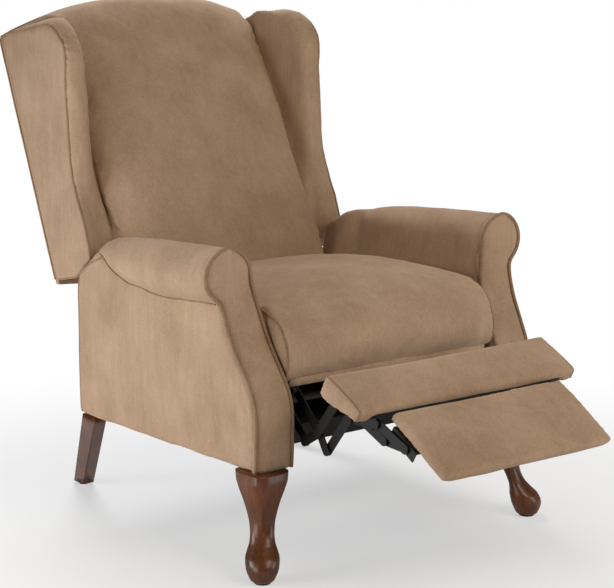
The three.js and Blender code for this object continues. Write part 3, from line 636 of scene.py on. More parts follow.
@dataclass(frozen=True)
class Microsuede:
    """Brushed polyester microsuede, woven and sanded to a short nap.

    The nap lies in streaks a few millimetres wide and lights up where it faces the lamp, so the
    cloth shows soft mottling, fine streaks and a pale sheen at grazing angles.
    """

    name: str = "brushed_microsuede"
    light: str = "#bda188"
    middle: str = "#ae9279"
    dark: str = "#9b7f66"
    sheen: str = "#e9d8c4"
    streak_width_mm: float = 3.4
    streak_length_mm: float = 46.0
    band_width_mm: float = 15.0
    band_length_mm: float = 170.0
    thread_mm: float = 2.6
    mottle_mm: float = 120.0
    band_share: float = 0.24
    streak_share: float = 0.26
    thread_share: float = 0.36

    def build(self) -> bpy.types.Material:
        """Builds the cloth's nodes.

        Returns:
            The finished material.
        """
        made, tree = new_material(self.name)
        streak_waves = waves(self.streak_width_mm, self.streak_length_mm)
        streak = grain(tree, streak_waves, detail=3.0, rough=0.55)
        band = grain(tree, waves(self.band_width_mm, self.band_length_mm), detail=2.0, rough=0.5)
        # The threads are drawn about three times too coarse, so that they still show.
        thread = grain(tree, waves(self.thread_mm), detail=2.0, rough=0.7)
        mottle = grain(tree, waves(self.mottle_mm), detail=3.0, rough=0.55)
        tone = blended(tree, mottle.outputs["Fac"], band, self.band_share)
        tone = blended(tree, tone, streak, self.streak_share)
        tone = blended(tree, tone, thread, self.thread_share)
        ramp = add(tree, "ShaderNodeValToRGB", Fac=tone)
        fill_ramp(ramp, [(0.37, self.dark), (0.5, self.middle), (0.63, self.light)])
        lay = streak.outputs["Fac"]
        nap = add(tree, "ShaderNodeBump", Strength=0.22, Distance=0.5 * MM, Height=lay)
        cloth = add(
            tree,
            "ShaderNodeBump",
            Strength=0.5,
            Distance=0.4 * MM,
            Height=thread.outputs["Fac"],
            Normal=nap.outputs["Normal"],
        )
        shader = add(
            tree,
            "ShaderNodeBsdfPrincipled",
            Base_Color=ramp.outputs["Color"],
            Roughness=0.92,
            Specular_IOR_Level=0.16,
            Sheen_Weight=0.16,
            Sheen_Roughness=0.5,
            Sheen_Tint=linear(self.sheen),
            Normal=cloth.outputs["Normal"],
        )
        add(tree, "ShaderNodeOutputMaterial", Surface=shader.outputs["BSDF"])
        return made


@dataclass(frozen=True)
class LacqueredWood:
    """Turned hardwood stained cherry brown under a clear nitrocellulose lacquer.

    The stain gathers in the pores, and the lacquer gives small sharp highlights.
    """

    name: str = "cherry_lacquered_wood"
    light: str = "#764222"
    middle: str = "#5a3117"
    dark: str = "#3d200f"
    grain_mm: float = 5.0
    run_mm: float = 130.0
    cloud_width_mm: float = 38.46
    cloud_length_mm: float = 111.1

    def build(self) -> bpy.types.Material:
        """Builds the wood's nodes.

        Returns:
            The finished material.
        """
        made, tree = new_material(self.name)
        rings = grain(tree, waves(self.grain_mm, self.run_mm), detail=4.0, rough=0.6)
        cloud_waves = waves(self.cloud_width_mm, self.cloud_length_mm)
        clouds = grain(tree, cloud_waves, detail=2.0, rough=0.5)
        tone = blended(tree, rings.outputs["Fac"], clouds, 0.5)
        ramp = add(tree, "ShaderNodeValToRGB", Fac=tone)
        fill_ramp(ramp, [(0.34, self.dark), (0.52, self.middle), (0.68, self.light)])
        pore = rings.outputs["Fac"]
        pores = add(tree, "ShaderNodeBump", Strength=0.12, Distance=0.3 * MM, Height=pore)
        shader = add(
            tree,
            "ShaderNodeBsdfPrincipled",
            Base_Color=ramp.outputs["Color"],
            Roughness=0.4,
            Specular_IOR_Level=0.35,
            Coat_Weight=0.3,
            Coat_Roughness=0.14,
            Normal=pores.outputs["Normal"],
        )
        add(tree, "ShaderNodeOutputMaterial", Surface=shader.outputs["BSDF"])
        return made


@dataclass(frozen=True)
class PlainCoat:
    """A surface of one kind with a fine random unevenness in tone, gloss and relief."""

    name: str
    low: str
    high: str
    roughness: float
    grain_mm: float
    relief_mm: float
    metallic: float = 0.0
    wear_mm: float = 35.71

    def build(self) -> bpy.types.Material:
        """Builds the coat's nodes.

        Returns:
            The finished material.
        """
        made, tree = new_material(self.name)
        fleck = grain(tree, waves(self.grain_mm), detail=3.0, rough=0.6)
        wear = grain(tree, waves(self.wear_mm), detail=3.0, rough=0.6)
        tone = blended(tree, fleck.outputs["Fac"], wear, 0.5)
        ramp = add(tree, "ShaderNodeValToRGB", Fac=tone)
        fill_ramp(ramp, [(0.35, self.low), (0.65, self.high)])
        spread = add(
            tree,
            "ShaderNodeMapRange",
            Value=wear.outputs["Fac"],
            To_Min=self.roughness * 0.8,
            To_Max=min(1.0, self.roughness * 1.25),
        )
        relief = self.relief_mm * MM
        skin = add(tree, "ShaderNodeBump", Strength=0.3, Distance=relief, Height=fleck.outputs["Fac"])
        shader = add(
            tree,
            "ShaderNodeBsdfPrincipled",
            Base_Color=ramp.outputs["Color"],
            Roughness=spread.outputs["Result"],
            Metallic=self.metallic,
            Normal=skin.outputs["Normal"],
        )
        add(tree, "ShaderNodeOutputMaterial", Surface=shader.outputs["BSDF"])
        return made


def built(recipe: Microsuede | LacqueredWood | PlainCoat) -> bpy.types.Material:
    """A dataclass field that holds the recipe's material."""
    return field(default_factory=recipe.build)


@dataclass
class Finishes:
    """Every material on the chair, built once."""

    fabric: bpy.types.Material = built(Microsuede())
    # The welts are the same cloth cut on the bias and wrapped on cord; their darker colour is painted
    # shade for the shadowed grooves on both sides of each welt.
    welt: bpy.types.Material = built(
        Microsuede(
            "bias_cut_welt", light="#a68a71", middle="#94785f", dark="#7c614a", streak_length_mm=9.0
        )
    )
    wood: bpy.types.Material = built(LacqueredWood())
    # Baked black paint on pressed steel: slightly glossy, with an orange-peel skin.
    steel: bpy.types.Material = built(
        PlainCoat(
            "baked_black_paint", "#040405", "#0f1011", roughness=0.42, grain_mm=2.2, relief_mm=0.08
        )
    )
    # Frame boards coloured near-black, so that they don't show behind the open footrest.
    frame: bpy.types.Material = built(
        PlainCoat(
            "black_stained_board", "#0d0c0b", "#1d1a17", roughness=0.8, grain_mm=4.0, relief_mm=0.3
        )
    )
    # Black spun-bonded polypropylene: matte, with a fine random fibre pattern.
    cloth: bpy.types.Material = built(
        PlainCoat(
            "black_spun_bonded_cloth", "#0b0b0c", "#19191a", roughness=0.95, grain_mm=1.4, relief_mm=0.1
        )
    )
    # Oil-tempered spring wire: dark blue-grey scale with a dull shine.
    wire: bpy.types.Material = built(
        PlainCoat(
            "oil_tempered_wire",
            "#2c2d30",
            "#47494d",
            roughness=0.42,
            grain_mm=1.5,
            relief_mm=0.05,
            metallic=0.85,
        )
    )
    # Moulded nylon glides: matte, slightly scuffed.
    nylon: bpy.types.Material = built(
        PlainCoat("moulded_nylon", "#211d1a", "#332d29", roughness=0.55, grain_mm=2.0, relief_mm=0.05)
    )


def dress(made: bpy.types.Object, material: bpy.types.Material) -> None:
    """Gives the object that one material."""
    made.data.materials.clear()
    made.data.materials.append(material)


# Sub-assemblies


@dataclass
class Part:
    """What every sub-assembly shares: the finishes and the frame's shift along Y."""

    finishes: Finishes
    shift: float

    def settle(
        self,
        made: bpy.types.Object,
        body: str,
        material: bpy.types.Material,
        slot: str = "fabric",
        nodes: tuple[str, ...] = (),
        fill: float | None = None,
    ) -> bpy.types.Object:
        """Dresses a piece and hands it to the frame.

        Args:
            made: The piece, in place.
            body: The CAD body that it moves with.
            material: Its material.
            slot: The record's material slot; not used.
            nodes: The CAD nodes that it stands for.
            fill: How full it is, for a padded piece; not used.

        Returns:
            The piece.
        """
        dress(made, material)
        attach(made, body)
        if nodes:
            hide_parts(*nodes)
        LOG.info("built %s on %s", made.name, body)
        return made

    def welt(
        self,
        name: str,
        owner: bpy.types.Object,
        path: list[Point],
        radius: float,
        proud: float = 0.3,
    ) -> None:
        """A fabric welt that rides with its owner.

        Args:
            name: The piece's name.
            owner: The piece that the welt is sewn into.
            path: Points in millimetres.
            radius: The welt's radius in millimetres.
            proud: How many radii its middle stands off the owner's surface.
        """
        made = tube(name, seated(path, owner, radius * proud), radius)
        # The welt cloth is darkened as painted shade of the grooves beside it.
        dress(made, self.finishes.welt)
        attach(made, owner["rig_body"])
        LOG.info("sewed %s into %s", name, owner.name)


@dataclass
class SidePart(Part):
    """A sub-assembly that each side of the chair has."""

    side: Side = Side.LEFT

    def place(self, x: float, y: float, z: float) -> Point:
        """A point on this side of the chair, in the frame."""
        return (self.side.sign * x, y + self.shift, z)


@dataclass
class Arm(SidePart):
    """One upholstered arm: side panel, rolled top and scooped front facing."""

    front: float = -238.0
    rear: float = 305.0
    foot: float = 216.5
    # The side panel leans out between these two heights.
    lean_from: float = 216.0
    lean_to: float = 549.0
    foot_outer: float = 358.0
    neck_outer: float = 387.0
    rear_outer: float = 390.0
    foot_inner: float = 266.0
    neck_inner: float = 298.0
    swell: float = 2.5
    # Under the seat the arm's inner side stands back, and it ends at these heights.
    under_inner: float = 287.0
    under_top: float = 374.0
    under_low: float = 300.0
    facing: float = 12.0
    overlap: float = 5.0
    # The facing follows the side panel up to the notch, where the scroll starts.
    panel_top: float = 551.0
    notch: float = 553.3
    scroll_foot: float = 590.0
    scroll_inner: float = 309.0
    # The facing widens above the first of these heights, and is round from the second.
    widens: Pair = (540.0, 553.0)
    # Heights off the scroll's middle over which the facing's inner edge joins the scroll
    joins: Pair = (-40.0, -8.0)
    straight_top: float = 600.0
    # How far the facing's edge lies behind the rim, and how far its middle stands out from there
    rim_depth: float = 4.5
    puff: float = 8.5
    roll: Table = (
        # Y, top of the roll, half height, half width, overhang past the panel
        (-238, 660, 55.5, 55.5, 34),
        (-134, 655, 57, 56, 33),
        (-30, 648, 58, 56, 31),
        (51, 642, 52, 53, 27),
        (100, 637, 48, 50, 23),
        (149, 630, 38.5, 45, 16),
        (177, 624, 29, 38, 8),
        (195, 616, 20, 34, 4),
        (215, 605, 14, 40, 0),
        (239, 587, 10, 44, -1),
        (305, 533, 9, 44, -1),
    )
    sweep: Table = (
        # Height and how far forward the facing stands there
        (216, -313),
        (250, -320),
        (291, -327),
        (334, -332.5),
        (368, -329),
        (393, -319),
        (420, -303),
        (447, -286),
        (475, -270),
        (513, -254),
        (542, -245),
        (575, -239),
        (660, -238),
    )
    # Y and how much higher the inner side stands there, where it tucks under the wing
    tuck: Table = ((185, 0), (225, 24), (267, 36), (305, 46))
    # Y and how far out the inner side stands below the roll
    inside: Table = ((228, 283), (248, 268))
    # The roll's seam stops short of the rear here, and then turns up round the roll's end.
    seam_inset: float = 16.0
    seam_rear: float = 182.0
    seam_end: tuple[Point, ...] = ((391, 192, 580), (387, 206, 588), (377, 224, 591), (363, 238, 586))
    rear_strip: tuple[Point, ...] = (
        (390, 188, 587),
        (391, 215, 577),
        (391, 253, 562),
        (391, 288, 545),
        (391, 303, 533),
    )
    # The corner welt runs up the rear edge, with a point at every one of these heights.
    corner: range = range(220, 532, 12)

    @property
    def scroll(self) -> Point:
        """The front scroll's middle, as distance out and height, and its radius."""
        _, top, high, wide, hang = self.roll[0]
        return self.neck_outer + hang - wide, top - high, wide

    def inner(self, height: float) -> float:
        """How far out the facing's inner edge stands at that height."""
        lean = (height - self.lean_from) / (self.lean_to - self.lean_from)
        return mix(self.foot_inner, self.neck_inner, lean)

    def outer(self, y: float, height: float) -> float:
        """How far out the side panel stands.

        Args:
            y: The place along the arm.
            height: The height.

        Returns:
            The distance from the chair's middle.
        """
        back = max(0.0, (y - self.front) / (self.rear - self.front))
        low = mix(self.foot_outer, self.rear_outer, back)
        high = mix(self.neck_outer, self.rear_outer, back)
        return mix(low, high, (height - self.lean_from) / (self.lean_to - self.lean_from))

    def section(self, y: float) -> list[Pair]:
        """The arm's outline across.

        Args:
            y: The place along the arm.

        Returns:
            X and Z round the outline, up the outer side first.
        """
        top, high, wide, hang = (read(self.roll, y, k) for k in range(1, 5))
        neck = top - 2 * high
        edge = self.outer(y, neck)
        centre = edge + hang - wide
        floor = mix(self.under_inner, self.outer(y, self.foot), 0.5)
        line = [(self.under_inner, self.foot), (floor, self.foot)]
        for k in range(13):
            height = mix(self.foot, neck, k / 13)
            line.append((self.outer(y, height) + self.swell * math.sin(math.pi * k / 13), height))
        start = -math.acos(max(-1.0, min(1.0, (edge - centre) / wide)))
        for k in range(25):
            angle = mix(start, math.pi, k / 24)
            line.append((centre + wide * math.cos(angle), top + high * (math.sin(angle) - 1)))
        reach = centre - wide
        lift, inside = read(self.tuck, y), read(self.inside, y)
        line = [
            (x, z + lift * (1 - smooth((x - reach) / (edge - reach)))) if z > neck else (x, z)
            for x, z in line
        ]
        for k in range(1, 12):
            share = k / 11
            height = mix(top - high + lift, self.under_top, share)
            line.append((mix(reach, inside, smooth(share * 1.6)), height))
        return [*line, (self.under_inner, self.under_top - 2), (self.under_inner, self.under_low)]

    def body(self) -> bpy.types.Object:
        """Builds the arm's padded body behind the facing.

        Returns:
            The body's cover.
        """
        rings = []
        stations = 46
        for i in range(stations):
            y = mix(self.front, self.rear, i / (stations - 1))
            rings.append([self.place(x, y, z) for x, z in self.section(y)])
        made = remeshed(loft(f"{self.side.word}_arm_cover", rings), COVER_VOXEL, 5)
        for vertex in made.data.vertices:
            y, z = vertex.co.y / MM - self.shift, vertex.co.z / MM
            share = (y - self.front) / (self.rear - self.front)
            start = read(self.sweep, z) + self.facing - self.overlap
            vertex.co.y = (mix(start, self.rear, share) + self.shift) * MM
        seam, rim = Line(self.roll_seam()), Line(self.rim())
        seed = 3.0 if self.side is Side.LEFT else 9.0

        def shape(place: Vector) -> float:
            """The seam under the roll, the rim and the padding's unevenness."""
            pull = seam.groove(place, width=7.0, depth=4.5) + rim.groove(place, width=9.0, depth=4.0)
            pucker = seam.gathers(place, reach=16.0, height=0.9, pitch=17.0, seed=seed)
            return pull + pucker + ripple(place, 1.6, 95.0, seed) + ripple(place, 0.5, 30.0, seed)

        return displaced(made, shape)

    def roll_seam(self) -> list[Point]:
        """Draws the seam under the roll, up round its rear end.

        Returns:
            The seam's points.
        """
        run = []
        for k in range(26):
            y = mix(self.front + self.seam_inset, self.seam_rear, k / 25)
            neck = read(self.roll, y, 1) - 2 * read(self.roll, y, 2)
            run.append(self.place(self.outer(y, neck) + 0.5, y, neck))
        return resample(run + [self.place(*point) for point in self.seam_end], 90)

    def rim(self) -> list[Point]:
        """Draws the facing's edge: up the outer side, round the scroll and down the inner side.

        Returns:
            The edge's points.
        """
        middle_x, middle_z, radius = self.scroll
        line = []
        for k in range(24):
            height = mix(self.lean_from, self.panel_top, k / 23)
            line.append((self.outer(self.front, height), height))
        start = math.asin((self.notch - middle_z) / radius)
        for k in range(1, 30):
            angle = mix(start, math.pi - 0.05, k / 29)
            line.append((middle_x + radius * math.cos(angle), middle_z + radius * math.sin(angle)))
        for k in range(1, 26):
            height = mix(self.scroll_foot, self.lean_from, k / 25)
            line.append((mix(self.scroll_inner, self.inner(height), smooth(k / 5)), height))
        return [self.place(x, read(self.sweep, z), z) for x, z in line]

    def facing_panel(self) -> bpy.types.Object:
        """Builds the padded front facing inside the rim.

        Returns:
            The facing's cover.
        """
        middle_x, middle_z, radius = self.scroll
        heights = [mix(self.foot, self.straight_top, k / 62) for k in range(63)]
        turn = [mix(0, math.pi / 2, k / 16) for k in range(1, 17)]
        heights += [middle_z + (radius - 1) * math.sin(angle) for angle in turn]
        rings = []
        for height in heights:
            wide = math.sqrt(max(9.0, (radius - 0.5) ** 2 - (height - middle_z) ** 2))
            out = self.outer(self.front, height)
            if height > self.widens[0]:
                out = max(out if height < self.widens[1] else 0.0, middle_x + wide)
            low = mix(self.inner(height), middle_x - wide, ramp(height - middle_z, *self.joins))
            y = read(self.sweep, height)
            ring = []
            for k in range(15):
                u = k / 14
                puff = 1 - abs(2 * u - 1) ** 3
                ring.append((mix(low + 1, out - 1, u), y + self.rim_depth - self.puff * puff))
            ring += [(out - 1, y + self.facing), (low + 1, y + self.facing)]
            rings.append([self.place(x, depth, height) for x, depth in ring])
        made = loft(f"{self.side.word}_arm_facing_cover", rings)
        seed = 21.0 if self.side is Side.LEFT else 25.0
        return displaced(made, lambda place: ripple(place, 1.4, 55.0, seed))

    def build(self) -> None:
        """Builds the arm's pieces."""
        word, cloth = self.side.word, self.finishes.fabric
        body = self.settle(self.body(), "base", cloth, nodes=(f"{word}_arm",), fill=0.8)
        panel = self.facing_panel()
        facing = self.settle(panel, "base", cloth, nodes=(f"{word}_arm_facing",), fill=0.7)
        self.welt(f"{word}_facing_welt", facing, self.rim(), radius=4.0, proud=0.6)
        self.welt(f"{word}_roll_welt", body, self.roll_seam(), radius=1.9)
        strip = [self.place(*point) for point in self.rear_strip]
        self.welt(f"{word}_rear_strip_welt", body, curve_through(strip, 30), radius=2.2)
        edge = [self.place(self.outer(self.rear, z) - 0.5, self.rear, z) for z in self.corner]
        self.welt(f"{word}_rear_corner_welt", body, resample(edge, 50), radius=2.2)


CROWN: Table = (
    # Distance from the middle, top of the back, top of the outside back behind it
    (0, 1104.5, 1091),
    (80, 1103, 1089),
    (155, 1096, 1083),
    (210, 1084, 1073),
    (262, 1070, 1058),
    (314, 1060, 1042),
    (356, 1052, 1025),
)
CUSHION_EDGE: Table = (
    # Height, Y of the corner between the back cushion's front and its side, half width there
    (455, 226, 258),
    (490, 236, 263),
    (545, 264, 266),
    (565, 278, 271),
    (600, 314, 279),
    (633, 338, 283),
    (752, 405, 283),
    (845, 453, 283),
    (910, 493, 283),
    (982, 528, 277),
    (1022, 535, 265),
    (1050, 546, 261),
)


@dataclass
class Wing(SidePart):
    """One padded wing beside the back, with a boxed front strip and an outer side panel."""

    outer: float = 355.0
    # The boxed strip ends here, and the wing's inner side here, behind the back cushion.
    strip: float = 300.0
    inner: float = 262.8
    # How far out the wing's rings stand, before the last one at its inner side
    stations: tuple[float, ...] = (354.5, 352, 346, 336, 325, 314, 306, 300, 292, 284, 274)
    # Y and height up the front and over the top, at the outer edge of the strip
    front: Outline = (
        (304, 563),
        (330, 636),
        (371, 713),
        (385, 763),
        (396, 888),
        (398, 925),
        (399, 947),
        (395, 991),
        (398, 1013),
        (406, 1027),
        (423, 1044),
        (448, 1058),
        (470, 1065),
        (492, 1064),
        (519, 1059),
        (547, 1053),
        (593, 1047),
        (664, 1037),
        (684, 1026),
    )
    # The same at the strip's inner edge
    inner_front: Outline = (
        (344, 563),
        (346, 615),
        (374, 751),
        (388, 885),
        (394, 945),
        (401, 990),
        (419, 1025),
        (440, 1052),
        (463, 1068),
        (497, 1076),
        (528, 1072),
        (568, 1060),
        (600, 1048),
        (664, 1040),
        (684, 1036),
    )
    rear_top: Pair = (684, 1026)
    rear_foot: Pair = (460, 489)
    front_foot: Pair = (370, 509)
    # The inner cloth is pulled through beside the seat below this height, down to this corner.
    pulled_below: float = 575.0
    pulled_corner: Pair = (318, 455)
    fall: float = 30.0
    # Pulls in the cloth across the front strip, as distances out, Y and height
    pulls: tuple[tuple[Point, ...], ...] = (
        ((353, 399, 1004), (330, 388, 997), (306, 392, 984)),
        ((353, 413, 1037), (334, 414, 1048), (316, 428, 1054)),
        ((353, 398, 905), (334, 385, 899), (312, 386, 902)),
    )
    # Height and how far the padding of the front strip stands out there
    padding: Table = ((563, 2), (650, 2), (720, 6), (800, 13), (900, 13), (980, 9), (1080, 7))
    # The padding stands out away from this point, less so in height, and ends over these Y.
    heart: Pair = (520.0, 800.0)
    flattened: float = 0.75
    padding_ends: Pair = (560.0, 650.0)
    # The inner cloth stays this far behind the cushion's edge, and then tucks in behind it.
    behind_edge: float = 4.0
    tucked: float = 22.0
    tuck_width: float = 15.0
    # The inner side's top rises towards the rear, over these Y.
    rear_rise: float = 10.0
    rises: Pair = (630.0, 670.0)
    # Heights over which the gathers beside the seams grow
    gathered: Pair = (930.0, 1000.0)
    # Y and height along the outer panel's foot, from the front
    foot: Outline = ((304, 562), (330, 543), (370, 508), (412, 497), (460, 488))

    def outline(self, front: Outline, low: bool = False) -> list[Pair]:
        """A closed side outline: up the front, over the top, down the rear and along the foot.

        Args:
            front: Y and Z up the front and over the top.
            low: Whether the foot is the cloth that is pulled through beside the seat.

        Returns:
            Y and Z round the outline.
        """
        (top_y, top_z), (foot_y, foot_z), (toe_y, toe_z) = self.rear_top, self.rear_foot, self.front_foot
        down = [(mix(top_y, foot_y, k / 40), mix(top_z, foot_z, k / 40)) for k in range(1, 41)]
        foot = []
        for k in range(1, 10):
            drop = -self.fall * smooth(k / 9) if low else (toe_z - foot_z) * k / 9
            foot.append((mix(foot_y, toe_y, k / 9), foot_z + drop))
        corner, start = self.pulled_corner if low else self.front_foot, front[0]
        rise = [(mix(corner[0], start[0], k / 8), mix(corner[1], start[1], k / 8)) for k in range(1, 8)]
        return side_points(front, 74) + down + foot + rise

    def boxed(self, x: float, y: float, z: float, share: float) -> Pair:
        """Pads the strip at a place and draws the inner side back behind the cushion's edge.

        Args:
            x: The distance from the chair's middle.
            y: Y before padding.
            z: The height before padding.
            share: How far across the strip the place lies, from its outer edge.

        Returns:
            The padded Y and Z.
        """
        arch = math.sin(math.pi * share) ** 0.7
        away = Vector((y - self.heart[0], (z - self.heart[1]) * self.flattened)).normalized()
        puff = read(self.padding, z) * arch * (1 - ramp(y, *self.padding_ends))
        y, z = y + away.x * puff, z + away.y * puff
        edge, half = read(CUSHION_EDGE, z), read(CUSHION_EDGE, z, 2)
        turn = min(1.0, max(0.0, (self.strip - x) / (self.strip - half)))
        target = edge + self.behind_edge + self.tucked * smooth((half - x) / self.tuck_width)
        if y < target:
            y = mix(y, target, turn**0.85)
        deep = max(0.0, (self.strip - x) / (self.strip - self.inner))
        return y, z + self.rear_rise * deep * ramp(y, *self.rises)

    def body(self) -> bpy.types.Object:
        """Builds the padded wing.

        Returns:
            The wing's cover.
        """
        outer, inner = self.outline(self.front), self.outline(self.inner_front)
        pulled = self.outline(self.inner_front, low=True)
        rings = []
        for x in (*self.stations, self.inner):
            share = min(1.0, (self.stations[0] - x) / (self.stations[0] - self.strip))
            through = smooth(max(0.0, (self.strip - x) / (self.strip - self.inner)) * 1.6)
            ring = []
            for (y0, z0), (y1, z1), (y2, z2) in zip(outer, inner, pulled):
                y, z = mix(y0, y1, share), mix(z0, z1, share)
                if z > self.pulled_below:
                    y, z = self.boxed(x, y, z, share)
                else:
                    y, z = mix(y, y2, through), mix(z, z2, through)
                ring.append(self.place(x, y, z))
            rings.append(ring)
        made = remeshed(loft(f"{self.side.word}_wing_cover", rings), COVER_VOXEL, 5)
        edge, inside = Line(self.front_edge()), Line(self.inner_edge())
        pulls = [Line(curve_through([self.place(*p) for p in pull], 24)) for pull in self.pulls]
        seed = 31.0 if self.side is Side.LEFT else 37.0

        def shape(place: Vector) -> float:
            """Welt grooves, pulls, gathers over the top and the padding's unevenness."""
            top = ramp(place.z, *self.gathered)
            pull = edge.groove(place, width=6.0, depth=3.6) + inside.groove(place, width=7.0, depth=2.0)
            pull += sum(line.groove(place, 5.0, 2.6) - line.groove(place, 13.0, 1.2) for line in pulls)
            fold = edge.gathers(place, 20.0, 1.0 + 2.2 * top, pitch=19.0, seed=seed)
            fold += inside.gathers(place, 16.0, 0.8 + 1.6 * top, pitch=23.0, seed=seed + 2)
            return pull + fold + ripple(place, 1.8, 80.0, seed) + ripple(place, 0.6, 28.0, seed)

        return displaced(made, shape)

    def front_edge(self) -> list[Point]:
        """The welt between the outer panel and the front strip."""
        return [self.place(self.outer, y, z) for y, z in side_points(self.front, 110)]

    def inner_edge(self) -> list[Point]:
        """The softer edge where the front strip turns inwards."""
        return [self.place(self.strip, y, z) for y, z in side_points(self.inner_front, 100)]

    def build(self) -> None:
        """Builds the wing and its welts."""
        word, cloth = self.side.word, self.finishes.fabric
        wing = self.settle(self.body(), "back", cloth, nodes=(f"{word}_wing",), fill=0.75)
        self.welt(f"{word}_wing_welt", wing, self.front_edge(), radius=2.4)
        run = [self.place(self.outer - 1, y, z) for y, z in side_points(self.foot, 40)]
        self.welt(f"{word}_wing_foot_welt", wing, run, radius=2.2)


@dataclass
class Back(Part):
    """The back cushion, the outside back panel and its welts."""

    half: float = 260.5
    # The cushion's side outline over the crown, and the heights of its points down the rear
    over_crown: Outline = ((574, 1068), (600, 1083), (640, 1086), (676, 1080), (700, 1066))
    rear_heights: tuple[int, ...] = (1040, 980, 900, 800, 700, 600, 520, 470)
    underside: Outline = ((400, 456), (320, 456))
    # How far the front swells at the middle, with more at the sitter's loin
    fullness: float = 10.0
    loin: float = 12.0
    loin_height: float = 640.0
    loin_reach: float = 130.0
    # Heights over which the swell starts, over which it fades and over which the crown rises
    swell_starts: Pair = (455.0, 515.0)
    swell_fades: Pair = (1000.0, 1070.0)
    crown_rises: Pair = (1010.0, 1070.0)
    crown_seam: float = 1081.0
    # What lies nearer to the rear face than this is no front, unless it is over the crown's foot.
    front_depth: float = 60.0
    crown_foot: float = 1045.0
    # How far the front comes forward for each millimetre that it widens, and where that ends
    forward: float = 1.36
    widening_ends: Pair = (6.0, 32.0)
    # The outside back: half width beside the wings and below them, foot, and thickness
    outer_half: float = 355.0
    foot_half: float = 262.0
    panel_foot: float = 401.0
    panel_top: float = 1092.0
    panel: float = 12.0
    panel_swell: float = 4.5
    # The side welts stand this far out and start at this height, and the crown's ends here.
    welt_out: float = 354.5
    welt_foot: float = 492.0
    crown_half: float = 352.0
    # The rear face leans back from here.
    slope: float = 0.426
    foot_y: float = 460.0
    foot_z: float = 489.0

    def rear(self, height: float) -> float:
        """Where the outside back's rear face stands at that height."""
        return self.foot_y + self.slope * (height - self.foot_z)

    def swollen(self, x: float, y: float, z: float) -> Pair:
        """Swells the cushion's front face forward and lifts its crown in the middle.

        Args:
            x: The place across.
            y: Y of the side outline.
            z: The outline's height.

        Returns:
            The swollen Y and Z.
        """
        if y >= self.rear(z) - self.front_depth and z <= self.crown_foot:
            return y, min(z, read(CROWN, abs(x)))
        middle = max(0.0, 1 - abs(x / self.half) ** 2.6)
        swell = middle * ramp(z, *self.swell_starts)
        depth = self.fullness + self.loin * bell(z - self.loin_height, self.loin_reach)
        forward = swell * depth * (1 - ramp(z, *self.swell_fades) * 0.7)
        wider = read(CUSHION_EDGE, z, 2) - self.half
        forward += self.forward * wider * (1 - abs(x / self.half) ** 4)
        rise = ramp(z, *self.crown_rises) * (read(CROWN, abs(x)) - self.crown_seam)
        return y - forward, z + rise

    def spread(self, x: float, y: float, z: float) -> Point:
        """The point with the cushion's front edge swelling over the wings' inner cloth."""
        edge, half = read(CUSHION_EDGE, z) + self.shift, read(CUSHION_EDGE, z, 2)
        return (x * mix(half / self.half, 1.0, ramp(y - edge, *self.widening_ends)), y, z)

    def cushion(self) -> bpy.types.Object:
        """Builds the padded back cushion, full in the middle and drawn in at its sides.

        Returns:
            The cushion's cover.
        """
        corner = [(y, z) for z, y, _ in CUSHION_EDGE]
        front = side_points([*corner, *self.over_crown], 80)
        rear = [(self.rear(z) - self.panel - 1, z) for z in self.rear_heights]
        outline = front + rear + list(self.underside)
        rings = outline_rings(outline, across(self.half, 33), self.swollen, self.shift)
        rings = [[self.spread(*point) for point in ring] for ring in rings]
        made = remeshed(loft("back_cushion_cover", rings), COVER_VOXEL, 6)
        made = inflated(made, pressure=3.0, cap=20.0)
        edges = [
            Line([(sign * (half + 2), y + self.shift, z) for z, y, half in CUSHION_EDGE])
            for sign in (-1, 1)
        ]

        def crease(place: Vector) -> float:
            """Soft puckers beside the two side seams and the padding's unevenness."""
            right = place.x >= 0
            seed = 41.0 + (place.x > 0) * 3
            fold = edges[right].gathers(place, reach=26.0, height=1.2, pitch=85.0, seed=seed)
            return fold + ripple(place, 2.6, 120.0, 41.0) + ripple(place, 0.9, 42.0, 43.0)

        return displaced(made, crease)

    def outside(self) -> bpy.types.Object:
        """Builds the tight outside back, stapled under its lower edge.

        Returns:
            The panel's cover.
        """
        rings = []
        for k in range(47):
            share = k / 46
            base = mix(self.panel_foot, self.panel_top, share)
            below = base < self.foot_z
            wide = self.foot_half if below else self.outer_half
            outer, inner = [], []
            for x in across(wide, 25):
                z = base if below else mix(self.panel_foot, read(CROWN, abs(x), 2), share)
                puff = self.panel_swell * (1 - abs(x / wide) ** 4) * math.sin(math.pi * share)
                y = self.rear(z) + self.shift - 0.5
                outer.append((x, y + puff, z))
                inner.append((x, y - self.panel, z))
            rings.append(outer + inner[::-1])
        # The cloth turns over the board's top edge.
        half = self.panel / 2
        turned = [(x, y - half, z) for x, y, z in outer] + [(x, y + half, z) for x, y, z in inner[::-1]]
        made = loft("outside_back_cover", [*rings, turned])
        return displaced(made, lambda place: ripple(place, 1.4, 90.0, 51.0))

    def build(self) -> None:
        """Builds the back."""
        cloth = self.finishes.fabric
        hidden = ("back_cushion", "back_frame")
        self.settle(self.cushion(), "back", cloth, nodes=hidden, fill=0.7)
        panel = self.settle(self.outside(), "back", cloth, nodes=("outside_back",), fill=0.3)
        for side in Side:
            heights = np.linspace(self.welt_foot, read(CROWN, self.welt_out - 0.5, 2) - 2, 60)
            x = side.sign * self.welt_out
            edge = [(x, self.rear(z) + self.shift - 1.5, z) for z in heights]
            self.welt(f"{side.word}_outside_back_welt", panel, edge, radius=2.4)
        top = []
        for x in np.linspace(-self.crown_half, self.crown_half, 90):
            z = read(CROWN, abs(x), 2)
            top.append((x, self.rear(z) + self.shift - 2, z))
        self.welt("crown_welt", panel, top, radius=2.4)


